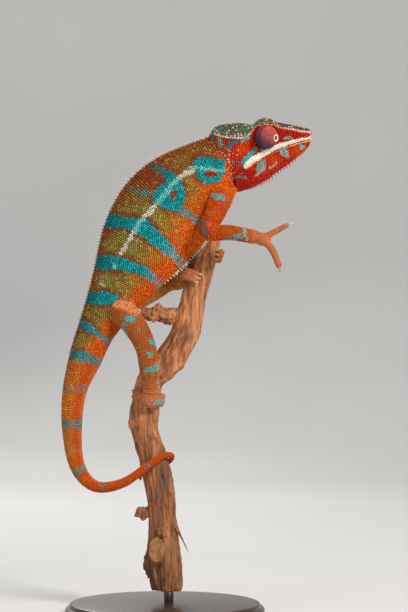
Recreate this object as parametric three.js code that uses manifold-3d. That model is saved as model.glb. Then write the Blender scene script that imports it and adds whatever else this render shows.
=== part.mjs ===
// A life-size panther chameleon climbing a short cut length of branch, on a plain display stand.
// Units are millimetres and degrees. +Z is up, the head looks along +X, and the animal's right side
// faces -Y. The origin is the centre of the stand's underside.
import * as THREE from "three";
import { mergeVertices } from "three/addons/utils/BufferGeometryUtils.js";
import Module from "manifold-3d";

const wasm = await Module();
wasm.setup();

// ---------------------------------------------------------------- driving dimensions
const GAP = 0.3; // clear space between neighbouring pieces
const RAD = Math.PI / 180;

// The stand: a round base plate and one rod that carries the branch.
const BASE = { radius: 70, thickness: 8, edge: 1.5, sides: 32 };
const ROD = { radius: 3.5, sides: 16, x: 2.6, y: 0, top: 30 };

// The branch's middle line from its sawn foot to its broken top: x, y, z and radius.
const BRANCH = [
  [2.8, 0, 10, 10.5],
  [-1.2, 0.5, 44.8, 11.6],
  [-2.1, 1.5, 72.8, 9.9],
  [-7.0, 3, 104.3, 10.1],
  [-14.0, 3, 128, 9.7],
  [-14.2, 3, 147, 9.6],
  [-9.5, 3, 165, 9.8],
  [3.5, 4, 178, 10.2],
  [14.3, 4.5, 198.1, 10.2],
  [20.3, 5, 224, 8.4],
  [24.8, 5.5, 237, 8.7],
  [28.6, 6, 249.5, 7.8],
  [31.4, 6.5, 258, 6.8],
  [33.4, 6.5, 266, 4.8],
];
const BRANCH_FOOT_Z = 17; // height of the sawn lower end
const BARK = { swell: 0.45, ribs: 5, twist: 0.9 }; // low ridges that wind up the branch
// Broken twigs and the sawn knot: start, end, radius at the start and at the end.
const STUBS = [
  { from: [15, 4, 207], to: [-18, 2, 211.5], radii: [7.4, 3.6] },
  { from: [-5, 1, 72], to: [-19.5, -1, 70.5], radii: [4.6, 3.6] },
  { from: [-3, -2, 46], to: [-7.6, -13.5, 47.5], radii: [7.6, 5.6] },
];

// The spine from inside the head to the tail: x, y, z, half the height and half the width.
const SPINE = [
  [51.0, 0, 317.0, 17.0, 10.5],
  [40.0, 0, 315.2, 21.2, 12.0],
  [21.0, 0, 299.9, 30.3, 13.6],
  [1.4, 0, 282.1, 34.2, 14.8],
  [-14.1, 0, 260.4, 31.4, 14.6],
  [-27.1, 0, 237.3, 23.9, 12.6],
  [-37.9, 0, 218.0, 17.6, 11.0],
  [-48.4, 0, 197.8, 13.2, 9.8],
  [-55.4, 0, 179.8, 11.7, 8.6],
  [-63.0, 0, 157.5, 8.8, 7.2],
  [-65.2, 0, 132.3, 7.3, 6.2],
  [-61.6, -1, 104.3, 5.6, 5.0],
  [-49.0, -3.5, 89.9, 4.3, 4.1],
  [-30.1, -7.5, 92.0, 3.6, 3.5],
];
// The tail's turn round the branch: angle from the front towards +X, height and tail radius.
const TAIL_WRAP = [
  [-22, 103.8, 3.0],
  [38, 111.5, 2.5],
  [88, 110.2, 2.2],
  [140, 105.0, 2.1],
  [195, 100.0, 1.8],
  [245, 96.5, 1.5],
  [282, 94.0, 1.2],
];
const KEEL = 1.25; // 1 is an oval trunk section, more is sharper along the back and the belly
const TRUNK_MESH = { from: 0, to: 9.5, along: 23, around: 16 };
const TAIL_MESH = { from: 9.514, to: 20, along: 26, around: 12 };

// The head, in its own frame: x forward from its centre, y to the left and z up.
const HEAD = { x: 63.0, y: 0, z: 324.8, roll: 17 };
// Its sections from the casque's rear point to the snout.
const HEAD_SECTIONS = [
  // x, crown height, ridge half-width, ridge height, cheek half-width, cheek height, throat
  [-33.0, 14.4, 2.6, 13.4, 4.0, 6.0, -4.0],
  [-24.0, 18.2, 8.6, 11.9, 11.0, 0.0, -18.0],
  [-14.0, 19.6, 11.2, 10.9, 13.2, -6.0, -30.5],
  [-6.3, 19.2, 10.0, 11.6, 13.6, -8.0, -29.3],
  [-0.7, 17.3, 8.2, 17.6, 13.0, -8.0, -26.8],
  [5.0, 17.0, 7.6, 20.8, 12.0, -7.0, -23.6],
  [10.5, 16.8, 7.4, 20.8, 10.8, -5.5, -20.1],
  [17.5, 15.2, 6.8, 18.2, 9.3, -3.0, -14.6],
  [24.5, 13.8, 6.0, 16.1, 7.8, 0.0, -9.5],
  [31.5, 12.8, 5.2, 14.4, 6.0, 3.0, -3.2],
  [36.0, 12.2, 4.0, 13.6, 4.6, 5.5, 1.2],
  [38.8, 12.0, 2.8, 12.8, 3.4, 7.5, 4.6],
];
const HEAD_MESH = { along: 19, around: 16 };
const MOUTH = { front: [39.5, 8.4], corner: [-6.5, -11.0] }; // x and z of the lip line
const EYE = { x: 7.7, y: 9.6, z: 12.4, radius: 8.2 };
const NECK_CUT = { at: [40.5, 0, 316], normal: [0.8, 0, 0.28], radius: 40 };

// Limbs from the body outwards: x, y, z and radius.
const LIMBS = {
  arm_right: [
    [37.4, -6, 297, 7.9],
    [36.4, -15.2, 282.6, 7.2],
    [29.8, -21, 267.6, 6.3],
    [47.0, -24, 266.0, 5.3],
    [68.0, -26, 262.0, 5.2],
  ],
  arm_left: [
    [36.4, 6, 297, 7.9],
    [27.5, 22.5, 284, 7.0],
    [18.5, 33, 272.0, 6.2],
    [27.0, 27, 262.0, 5.3],
    [30.4, 17.0, 251.0, 4.6],
  ],
  leg_right: [
    [-35.0, -4, 219.0, 10.0],
    [-21.6, -14, 203.0, 8.6],
    [-13.2, -19, 187.5, 7.5],
    [-10.9, -17.5, 171.5, 6.6],
    [-9.4, -11.5, 153.5, 5.6],
  ],
  leg_left: [
    [-35.0, 4, 219.0, 9.5],
    [-16.0, 21, 222.5, 7.4],
    [2.0, 29.5, 232.0, 6.3],
    [8.6, 22, 232.6, 5.8],
    [14.6, 13.0, 234.6, 5.0],
  ],
};
const LIMB_MESH = { along: 10, around: 8 };

// Feet that grip the branch: height on the branch, the way the palm faces (0 is the front, 90 is +X),
// and for each bundle the side it wraps to, its number of toes, their spacing and how far they reach.
const GRIPS = {
  foot_right: {
    z: 152,
    facing: 20,
    palm: [5.4, 8.6, 7.2],
    bundles: [
      { side: -1, toes: 2, first: 1.4, spacing: -4.6, reach: [16, 74] },
      { side: 1, toes: 3, first: 3.2, spacing: -3.8, reach: [18, 92] },
    ],
  },
  foot_left: {
    z: 234.5,
    facing: 232,
    palm: [5.0, 8.0, 6.6],
    bundles: [
      { side: 1, toes: 3, first: 3.6, spacing: -3.7, reach: [18, 128] },
      { side: -1, toes: 2, first: 2.0, spacing: -4.4, reach: [18, 108] },
    ],
  },
  hand_left: {
    z: 251,
    facing: 170,
    palm: [4.8, 7.0, 6.0],
    bundles: [
      { side: -1, toes: 3, first: 3.0, spacing: -4.0, reach: [16, 124] },
      { side: 1, toes: 2, first: 1.6, spacing: -4.0, reach: [16, 96] },
    ],
  },
};
const TOE = { root: 2.5, tip: 1.6, along: 5, around: 6 };
// The open right hand: its palm and its two bundles, each with a middle line and toes side by side.
const OPEN_HAND = {
  palm: { at: [68.6, -26, 261.8], size: [6.6, 5.2, 6.0] },
  bundles: [
    {
      toes: 2,
      spread: 3.2,
      thick: [3.4, 2.1],
      line: [[69.5, -26, 263.0], [77.8, -26, 267.6], [85.1, -26.5, 271.4]],
    },
    {
      toes: 3,
      spread: 3.0,
      thick: [3.7, 2.5],
      line: [[70.0, -26, 261.0], [75.2, -26, 252.9], [79.2, -25, 243.4]],
    },
  ],
};
const CLAW = { length: 2.9, radius: 0.85, hook: 0.55, sides: 4 };

// Saw-toothed crests along the back, the belly and the throat, each a thin blade of teeth.
const BACK_CREST = { from: 1.15, to: 7.6, pitch: 4.9, height: 1.7 };
const BELLY_CREST = { from: 2.3, to: 5.4, pitch: 5.2, height: 1.5 };
const THROAT_CREST = { from: -4, to: 33, pitch: 4.2, height: 2.0 };
const CREST = { thickness: 1.0, sunk: 1.6 };

// ---------------------------------------------------------------- curves and solids
const vec = (p) => new THREE.Vector3(p[0], p[1], p[2]);

// A smooth value through evenly numbered rows: u runs from 0 to rows.length - 1.
function smooth(rows, u) {
  const last = rows.length - 1;
  const i = Math.min(Math.max(Math.floor(u), 0), last - 1);
  const f = u - i;
  const row = (k) => {
    if (k < 0) return rows[0].map((v, c) => 2 * v - rows[1][c]);
    if (k > last) return rows[last].map((v, c) => 2 * v - rows[last - 1][c]);
    return rows[k];
  };
  const [a, b, c, d] = [row(i - 1), row(i), row(i + 1), row(i + 2)];
  return b.map((v, k) => {
    const slope = (c[k] - a[k]) / 2;
    const next = (d[k] - b[k]) / 2;
    const cubic = 2 * v - 2 * c[k] + slope + next;
    const square = -3 * v + 3 * c[k] - 2 * slope - next;
    return ((cubic * f + square) * f + slope) * f + v;
  });
}

// The direction in which the rows' x, y and z move at u.
function heading(rows, u) {
  const step = 0.02;
  const last = rows.length - 1;
  const ahead = vec(smooth(rows, Math.min(u + step, last)));
  return ahead.sub(vec(smooth(rows, Math.max(u - step, 0)))).normalize();
}

// Frames carried along the rows without twisting, starting with `up`: a function of u.
function carriedFrames(rows, up, steps = 240) {
  const frames = [];
  let lift = vec(up);
  for (let i = 0; i <= steps; i++) {
    const u = (i / steps) * (rows.length - 1);
    const ahead = heading(rows, u);
    lift = lift.clone().addScaledVector(ahead, -lift.dot(ahead)).normalize();
    frames.push({ ahead, up: lift, side: lift.clone().cross(ahead) });
  }
  return (u) => frames[Math.round((u / (rows.length - 1)) * steps)];
}

// A closed form made from a sphere: place(t, angle, open) gives each point, where t runs from pole to
// pole, angle is 0 at the top and 90 degrees at the side, and open is 0 at the poles.
function form(place, along, around) {
  const geometry = new THREE.SphereGeometry(1, around, along);
  const position = geometry.attributes.position;
  for (let i = 0; i < position.count; i++) {
    const t = Math.acos(THREE.MathUtils.clamp(position.getY(i), -1, 1)) / Math.PI;
    const open = t < 1e-4 || t > 1 - 1e-4 ? 0 : 1;
    const angle = Math.atan2(position.getX(i), position.getZ(i));
    const p = place(t, angle, open);
    position.setXYZ(i, p.x, p.y, p.z);
  }
  return solid(geometry);
}

// A three.js geometry as a solid that can be joined and cut.
function solid(geometry) {
  const bare = geometry.clone();
  bare.deleteAttribute("normal");
  bare.deleteAttribute("uv");
  const merged = mergeVertices(bare, 1e-3);
  const mesh = new wasm.Mesh({
    numProp: 3,
    vertProperties: new Float32Array(merged.attributes.position.array),
    triVerts: new Uint32Array(merged.index.array),
  });
  return new wasm.Manifold(mesh);
}

// How open a tube is at t: it closes roundly over the share `end` at each end.
function rounded(t, end) {
  const near = Math.min(1, Math.min(t, 1 - t) / end);
  return Math.sqrt(1 - (1 - near) ** 2);
}

// A round-ended tube through rows of x, y, z and radius, `grow` thicker all over. A fifth number is
// its half-height along `up` where it isn't round.
function tube(rows, { along, around }, { end = 0.12, grow = 0, up = [0, 0.1, 1] } = {}) {
  const frameAt = carriedFrames(rows, up);
  return form(
    (t, angle, open) => {
      const u = t * (rows.length - 1);
      const [x, y, z, radius, tall = radius] = smooth(rows, u);
      const share = open * rounded(t, end);
      const { up: lift, side } = frameAt(u);
      return new THREE.Vector3(x, y, z)
        .addScaledVector(side, share * (radius + grow) * Math.sin(angle))
        .addScaledVector(lift, share * (tall + grow) * Math.cos(angle));
    },
    along,
    around,
  );
}

// An ellipsoid with its half-sizes along three given directions.
function ellipsoid(centre, sizes, directions, around = 8) {
  const [a, b, c] = directions.map((d, i) => d.clone().multiplyScalar(sizes[i]));
  const matrix = new THREE.Matrix4().makeBasis(a, b, c).setPosition(centre);
  const geometry = new THREE.SphereGeometry(1, around, Math.round(around * 0.7));
  return solid(geometry.applyMatrix4(matrix));
}

// A thin round blade across a limb, which parts it with a clear gap.
function blade(at, normal, radius) {
  const geometry = new THREE.CylinderGeometry(radius, radius, GAP, 24);
  const turn = new THREE.Quaternion().setFromUnitVectors(
    new THREE.Vector3(0, 1, 0),
    vec(normal).normalize(),
  );
  return solid(geometry.applyQuaternion(turn).translate(at[0], at[1], at[2]));
}

// A blade of teeth in the x-z plane: it stands on the points of `line`, each { x, z, out }, where
// `out` points away from the flesh. Every second point is the tip of a tooth.
function saw(line, { height }, grow = 0, placed = new THREE.Matrix4()) {
  const along = (p, reach) => new THREE.Vector2(p.x + p.out.x * reach, p.z + p.out.z * reach);
  const tips = line.map((p, i) => {
    const fade = Math.min(1, 0.3 + Math.min(i, line.length - 1 - i) / 8);
    return along(p, (i % 2 ? height * fade : 0.15) + grow);
  });
  const roots = line.map((p) => along(p, -CREST.sunk)).reverse();
  const depth = CREST.thickness + 2 * grow;
  const shape = new THREE.Shape([...tips, ...roots]);
  const geometry = new THREE.ExtrudeGeometry(shape, { depth, bevelEnabled: false });
  geometry.translate(0, 0, -depth / 2).rotateX(Math.PI / 2);
  return solid(geometry.applyMatrix4(placed));
}

const joined = (solids) => solids.reduce((all, next) => all.add(next));

// ---------------------------------------------------------------- the branch
// The point on the branch's middle line at height z, with its radius.
function branchAt(z) {
  let low = 0;
  let high = BRANCH.length - 1;
  for (let i = 0; i < 30; i++) {
    const middle = (low + high) / 2;
    if (smooth(BRANCH, middle)[2] < z) low = middle;
    else high = middle;
  }
  const [x, y, , radius] = smooth(BRANCH, low);
  return { centre: new THREE.Vector3(x, y, z), radius, axis: heading(BRANCH, low) };
}

function branch(grow = 0) {
  const last = BRANCH.length - 1;
  const frameAt = carriedFrames(BRANCH, [0, -1, 0]);
  const body = form(
    (t, angle, open) => {
      const u = t * last;
      const [x, y, z, radius] = smooth(BRANCH, u);
      const ridge = BARK.swell * Math.sin(BARK.ribs * angle + BARK.twist * u * 2);
      const knots = BARK.swell * Math.sin(2 * angle - 3 * u);
      const reach = open * (radius + ridge + knots + grow) * rounded(t, 0.03);
      const { up, side } = frameAt(u);
      return new THREE.Vector3(x, y, z)
        .addScaledVector(side, reach * Math.sin(angle))
        .addScaledVector(up, reach * Math.cos(angle));
    },
    28,
    12,
  );
  return joined([body, ...STUBS.map((stub) => twig(stub, grow))]);
}

// A broken twig or a sawn knot: a straight taper, a little lumpy.
function twig({ from, to, radii }, grow) {
  const rows = [0, 0.35, 0.7, 1].map((f) => {
    const at = vec(from).lerp(vec(to), f);
    const lump = f === 0.7 ? 0.8 : 0;
    return [at.x, at.y, at.z, THREE.MathUtils.lerp(radii[0], radii[1], f) + lump];
  });
  return tube(rows, { along: 7, around: 8 }, { end: 0.06, grow });
}

// ---------------------------------------------------------------- trunk and tail
// The spine's rows, with the tail's turn round the branch worked out from the branch itself.
const spineRows = [
  ...SPINE,
  ...TAIL_WRAP.map(([degrees, z, radius]) => {
    const { centre, radius: wood } = branchAt(z);
    const clear = wood + 2 * BARK.swell + GAP + radius;
    const x = centre.x + clear * Math.sin(degrees * RAD);
    const y = centre.y - clear * Math.cos(degrees * RAD);
    return [x, y, z, radius, radius];
  }),
];
const spineFrame = carriedFrames(spineRows, [-0.5, 0, 0.86]);

// The point of the trunk's or tail's surface at u, `angle` round from the back towards the right side.
function flank(u, angle, grow = 0) {
  const [x, y, z, half, wide] = smooth(spineRows, u);
  const { up, side } = spineFrame(u);
  const across = Math.sin(angle);
  const keeled = Math.sign(across) * Math.abs(across) ** KEEL;
  return new THREE.Vector3(x, y, z)
    .addScaledVector(side, (wide + grow) * keeled)
    .addScaledVector(up, (half + grow) * Math.cos(angle));
}

// A length of the trunk or tail with flat ends.
function spineLength({ from, to, along, around }, grow = 0) {
  return form(
    (t, angle, open) => {
      const share = THREE.MathUtils.clamp((t * along - 1) / (along - 2), 0, 1);
      const u = THREE.MathUtils.lerp(from, Math.min(to, spineRows.length - 1), share);
      return vec(smooth(spineRows, u)).lerp(flank(u, angle, grow), open);
    },
    along,
    around,
  );
}

// The teeth along the back (angle 0) or the belly (angle 180 degrees), at an even pitch.
function crest(row, angle, grow = 0) {
  const { from, to, pitch } = row;
  const line = [];
  let walked = pitch;
  let before = flank(from, angle);
  for (let u = from; u <= to; u += 0.005) {
    const here = flank(u, angle);
    walked += here.distanceTo(before);
    before = here;
    if (walked < pitch / 2) continue;
    walked = 0;
    const out = spineFrame(u).up.clone().multiplyScalar(Math.cos(angle));
    line.push({ x: here.x, z: here.z, out });
  }
  return saw(line, row, grow);
}

// ---------------------------------------------------------------- the head
const headTurn = new THREE.Matrix4()
  .makeRotationX(HEAD.roll * RAD)
  .setPosition(HEAD.x, HEAD.y, HEAD.z);
const inHead = (x, y, z) => new THREE.Vector3(x, y, z).applyMatrix4(headTurn);

// The control points of half a section, from the crown round to the throat, as [half-width, height].
function headOutline([, crown, ridgeOut, ridgeUp, cheekOut, cheekUp, throat]) {
  const { lerp } = THREE.MathUtils;
  return [
    [0, crown],
    [ridgeOut * 0.55, lerp(crown, ridgeUp, 0.42)],
    [ridgeOut, ridgeUp],
    [lerp(ridgeOut, cheekOut, 0.4) - 0.5, lerp(ridgeUp, cheekUp, 0.42)],
    [cheekOut, cheekUp],
    [cheekOut * 0.74, lerp(cheekUp, throat, 0.62)],
    [0, throat],
  ];
}

function head(grow = 0) {
  const last = HEAD_SECTIONS.length - 1;
  return form(
    (t, angle, open) => {
      const row = smooth(HEAD_SECTIONS, t * last);
      const outline = headOutline(row);
      const place = (Math.abs(angle) / Math.PI) * (outline.length - 1);
      const [out, up] = smooth(mirrored(outline), place + 1);
      const middle = (row[1] + row[6]) / 2;
      const width = open * rounded(t, 0.06) * (1 + grow / 12);
      return inHead(row[0], Math.sign(angle) * out * width, middle + (up - middle) * width);
    },
    HEAD_MESH.along,
    HEAD_MESH.around,
  );
}

// The outline with one mirrored point before and after it, so that it stays smooth at the middle.
function mirrored(outline) {
  const [, second] = outline;
  const before = outline[outline.length - 2];
  return [[-second[0], second[1]], ...outline, [-before[0], before[1]]];
}

function throatCrest() {
  const { from, to, pitch } = THROAT_CREST;
  const line = [];
  for (let x = from; x <= to; x += pitch / 2) {
    const at = HEAD_SECTIONS.findIndex((row) => row[0] > x);
    const [low, high] = [HEAD_SECTIONS[at - 1], HEAD_SECTIONS[at]];
    const z = THREE.MathUtils.mapLinear(x, low[0], high[0], low[6], high[6]);
    line.push({ x, z, out: new THREE.Vector3(0.45, 0, -0.9) });
  }
  return saw(line, THROAT_CREST, 0, headTurn);
}

// Two thin blades that part the lower jaw: along the lips, and from their corner down to the throat.
function jawBlades() {
  const [frontX, frontZ] = MOUTH.front;
  const [cornerX, cornerZ] = MOUTH.corner;
  const depth = 60;
  const shape = new THREE.Shape();
  const drop = 40;
  shape.moveTo(frontX + 4, frontZ + 1.6);
  shape.lineTo(cornerX, cornerZ);
  shape.lineTo(cornerX - 3, cornerZ - drop);
  shape.lineTo(cornerX - 3 + GAP, cornerZ - drop);
  shape.lineTo(cornerX + GAP, cornerZ - GAP);
  shape.lineTo(frontX + 4, frontZ + 1.6 - GAP);
  shape.closePath();
  const geometry = new THREE.ExtrudeGeometry(shape, { depth, bevelEnabled: false });
  geometry.translate(0, 0, -depth / 2).rotateX(Math.PI / 2);
  return solid(geometry.applyMatrix4(headTurn));
}

function eye(side, grow = 0) {
  const centre = inHead(EYE.x, side * EYE.y, EYE.z);
  const reach = EYE.radius + grow;
  const axes = [0, 1, 2].map((i) => new THREE.Vector3().setComponent(i, 1));
  return ellipsoid(centre, [reach, reach, reach], axes, 12);
}

// ---------------------------------------------------------------- feet and claws
// The frame of a grip: the branch's place there, the way the palm faces, and the way across it.
function gripFrame({ z, facing }) {
  const { centre, radius, axis } = branchAt(z);
  const out = new THREE.Vector3(Math.sin(facing * RAD), -Math.cos(facing * RAD), 0);
  out.addScaledVector(axis, -out.dot(axis)).normalize();
  return { centre, radius, axis, out, across: axis.clone().cross(out) };
}

// One bundle of toes, as the rows of a flat band that wraps round the branch from the palm.
function wrappedBundle(grip, { side, toes, first, spacing, reach: [start, end] }) {
  const { centre, radius, axis, out, across } = gripFrame(grip);
  const middle = first + ((toes - 1) / 2) * spacing;
  return [0, 0.3, 0.6, 0.85, 1].map((f) => {
    const degrees = THREE.MathUtils.lerp(start, end, f);
    const thick = THREE.MathUtils.lerp(TOE.root, TOE.tip, f);
    const clear = radius + BARK.swell + thick + GAP;
    const at = centre
      .clone()
      .addScaledVector(axis, middle * (0.7 + 0.3 * f))
      .addScaledVector(out, clear * Math.cos(degrees * RAD))
      .addScaledVector(across, side * clear * Math.sin(degrees * RAD));
    return [at.x, at.y, at.z, thick, ((toes - 1) / 2) * Math.abs(spacing) * 0.85 + thick];
  });
}

// One bundle of the open hand, as the rows of a band that is flat from front to back.
function openBundle({ toes, spread, thick: [root, tip], line }) {
  return line.map(([x, y, z], k) => {
    const thick = THREE.MathUtils.lerp(root, tip, k / (line.length - 1));
    return [x, y, z, thick, ((toes - 1) / 2) * spread + thick];
  });
}

// The hooked claws at the end of a band of toes: each carries on from its toe and bends `inwards`.
function bandClaws(rows, { up, inwards, toes, spacing }) {
  const ahead = heading(rows, rows.length - 1);
  const tip = vec(rows[rows.length - 1]);
  const bend = inwards.clone().addScaledVector(ahead, -inwards.dot(ahead)).normalize();
  return Array.from({ length: toes }, (_, i) => {
    const aside = (i - (toes - 1) / 2) * spacing;
    const claw = [0, 0.4, 0.75, 1].map((f) => {
      const at = tip
        .clone()
        .addScaledVector(up, aside)
        .addScaledVector(ahead, GAP + CLAW.length * f)
        .addScaledVector(bend, CLAW.hook * f * f * CLAW.length);
      return [at.x, at.y, at.z, CLAW.radius * (1 - 0.8 * f)];
    });
    return tube(claw, { along: 4, around: CLAW.sides }, { end: 0.1, up: up.toArray() });
  });
}

// ---------------------------------------------------------------- assembly
const feet = {};
const claws = [];
const band = { end: 0.12 };
for (const [name, grip] of Object.entries(GRIPS)) {
  const { centre, radius, axis, out, across } = gripFrame(grip);
  const palmAt = centre.clone().addScaledVector(out, radius + BARK.swell + grip.palm[0] * 0.72);
  feet[name] = ellipsoid(palmAt, grip.palm, [out, across, axis]);
  for (const bundle of grip.bundles) {
    const rows = wrappedBundle(grip, bundle);
    feet[name] = feet[name].add(tube(rows, TOE, { ...band, up: axis.toArray() }));
    const inwards = centre.clone().sub(vec(rows[rows.length - 1]));
    const toes = bandClaws(rows, { ...bundle, up: axis, inwards, spacing: bundle.spacing * 0.85 });
    claws.push(...toes.map((claw) => ({ foot: name, claw })));
  }
}
{
  const axes = [0, 1, 2].map((i) => new THREE.Vector3().setComponent(i, 1));
  const up = axes[1];
  feet.hand_right = ellipsoid(vec(OPEN_HAND.palm.at), OPEN_HAND.palm.size, axes);
  for (const bundle of OPEN_HAND.bundles) {
    const rows = openBundle(bundle);
    feet.hand_right = feet.hand_right.add(tube(rows, TOE, { ...band, up: up.toArray() }));
    const inwards = new THREE.Vector3(1, 0, -1).multiplyScalar(bundle.toes === 2 ? 1 : -1);
    const toes = bandClaws(rows, { ...bundle, up, inwards, spacing: bundle.spread });
    claws.push(...toes.map((claw) => ({ foot: "hand_right", claw })));
  }
}

const perch = branch();
const clearOfPerch = branch(GAP);
const sockets = joined([eye(-1, GAP), eye(1, GAP)]);
const toeEnds = joined(claws.map(({ claw }) => claw));

// A blade across a run of rows at u, where u counts the rows.
const across = (rows, u, radius) => blade(smooth(rows, u), heading(rows, u).toArray(), radius);

const bellyTeeth = (grow) => crest(BELLY_CREST, Math.PI, grow);
const torso = joined([
  spineLength(TRUNK_MESH),
  head(),
  crest(BACK_CREST, 0),
  bellyTeeth(0),
  throatCrest(),
])
  .add(spineLength(TAIL_MESH))
  .subtract(sockets)
  .subtract(clearOfPerch)
  .subtract(jawBlades())
  .subtract(blade(NECK_CUT.at, NECK_CUT.normal, NECK_CUT.radius));
const TORSO_CUTS = [
  [2.05, 42],
  [7.0, 20],
  [11.6, 10],
  [14.2, 7],
];
const pieces = TORSO_CUTS.reduce((body, [u, r]) => body.subtract(across(spineRows, u, r)), torso)
  .decompose();

// Each limb with its foot, cut clear of the body, the branch and the limbs before it.
let taken = joined([spineLength(TRUNK_MESH, GAP), head(GAP), bellyTeeth(GAP), clearOfPerch]);
const LIMB_FEET = {
  arm_right: "hand_right",
  arm_left: "hand_left",
  leg_right: "foot_right",
  leg_left: "foot_left",
};
for (const [name, foot] of Object.entries(LIMB_FEET)) {
  const rows = LIMBS[name];
  const whole = tube(rows, LIMB_MESH, { end: 0.1 }).add(feet[foot]).subtract(taken);
  pieces.push(...whole.subtract(across(rows, 2.0, 11)).subtract(across(rows, 3.5, 8)).decompose());
  taken = taken.add(tube(rows, LIMB_MESH, { end: 0.1, grow: GAP }));
}

// A point inside each piece of flesh, which tells it its name.
const inTrunk = (u) => vec(smooth(spineRows, u));
const inLimb = (name, u) => vec(smooth(LIMBS[name], u));
const seeds = {
  head: inHead(12, 0, 8),
  lower_jaw: inHead(10, 0, -12),
  neck: inTrunk(1.7),
  trunk: inTrunk(4),
  tail_base: inTrunk(8.2),
  tail_middle: inTrunk(10.5),
  tail_bend: inTrunk(12.8),
  tail_curl: inTrunk(15.5),
  upper_arm_right: inLimb("arm_right", 1.3),
  forearm_right: inLimb("arm_right", 3),
  hand_right: vec(OPEN_HAND.palm.at),
  upper_arm_left: inLimb("arm_left", 1.3),
  forearm_left: inLimb("arm_left", 3),
  hand_left: inLimb("arm_left", 3.85),
  thigh_right: inLimb("leg_right", 1.3),
  shin_right: inLimb("leg_right", 3),
  foot_right: inLimb("leg_right", 3.85),
  thigh_left: inLimb("leg_left", 1.3),
  shin_left: inLimb("leg_left", 3),
  foot_left: inLimb("leg_left", 3.85),
};

function holds(piece, point) {
  const probe = new THREE.BoxGeometry(0.4, 0.4, 0.4).translate(point.x, point.y, point.z);
  return piece.intersect(solid(probe)).volume() > 0;
}

// ---------------------------------------------------------------- the stand
function standBase() {
  const { radius, thickness, edge, sides } = BASE;
  const profile = [
    [0, 0],
    [radius, 0],
    [radius, thickness - edge],
    [radius - edge, thickness],
    [0, thickness],
  ].map(([x, y]) => new THREE.Vector2(x, y));
  return solid(new THREE.LatheGeometry(profile, sides).rotateX(Math.PI / 2));
}

function standRod(grow = 0) {
  const foot = grow ? 0 : BASE.thickness + GAP;
  const top = ROD.top + grow;
  const geometry = new THREE.CylinderGeometry(ROD.radius + grow, ROD.radius + grow, top - foot, ROD.sides);
  return solid(geometry.rotateX(Math.PI / 2).translate(ROD.x, ROD.y, (top + foot) / 2));
}

// The branch, sawn square at its foot and drilled for the rod.
function perchPiece() {
  const below = new THREE.BoxGeometry(80, 80, 60).translate(0, 0, BRANCH_FOOT_Z - 30);
  return perch.subtract(solid(below)).subtract(standRod(GAP));
}

// ---------------------------------------------------------------- materials and the group
const finish = (color, roughness, metalness = 0) =>
  new THREE.MeshStandardMaterial({ color, roughness, metalness });
const SKIN = finish(0xc8501a, 0.6);
const JAW = finish(0xc23a18, 0.6);
const TURRET = finish(0x96505a, 0.5);
const KERATIN = finish(0xb9a58a, 0.4);
const WOOD = finish(0x9a6a48, 0.85);
const PLATE = finish(0x2b2b2d, 0.5);
const STEEL = finish(0x9a9a9e, 0.35, 0.9);

const chameleon = new THREE.Group();

function addPiece(name, made, material) {
  const { numProp, vertProperties, triVerts, numVert } = made.getMesh();
  const points = new Float32Array(numVert * 3);
  for (let i = 0; i < numVert; i++) {
    points.set(vertProperties.subarray(i * numProp, i * numProp + 3), i * 3);
  }
  const geometry = new THREE.BufferGeometry();
  geometry.setAttribute("position", new THREE.BufferAttribute(points, 3));
  geometry.setIndex(new THREE.BufferAttribute(new Uint32Array(triVerts), 1));
  geometry.computeVertexNormals();
  const mesh = new THREE.Mesh(geometry, material);
  mesh.name = name;
  chameleon.add(mesh);
}

for (const [name, point] of Object.entries(seeds)) {
  const piece = pieces.find((one) => holds(one, point));
  if (!piece) throw new Error("no piece of the body holds the point of " + name);
  addPiece(name, piece.subtract(toeEnds), name === "lower_jaw" ? JAW : SKIN);
}
addPiece("eye_right", eye(-1), TURRET);
addPiece("eye_left", eye(1), TURRET);

const numbered = {};
for (const { foot, claw } of claws) {
  numbered[foot] = (numbered[foot] || 0) + 1;
  addPiece("claw_" + foot + "_" + numbered[foot], claw, KERATIN);
}

addPiece("perch", perchPiece(), WOOD);
addPiece("stand_base", standBase(), PLATE);
addPiece("stand_rod", standRod(), STEEL);

export default chameleon;
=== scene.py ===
# %% [markdown]
# # A panther chameleon climbing its branch
# This lesson builds a life-size model of a male panther chameleon over the solids of its frame. The
# frame says where every piece is. We add what an eye would miss in plain solids: one skin with folds,
# a coat of separate granular scales, turreted eyes, claws, and a real-looking piece of dead wood.

# %% Load the frame
import itertools
import math

import bmesh
import bpy
import numpy as np
from mathutils import Matrix, Vector
from mathutils.bvhtree import BVHTree
from mathutils.kdtree import KDTree


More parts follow.
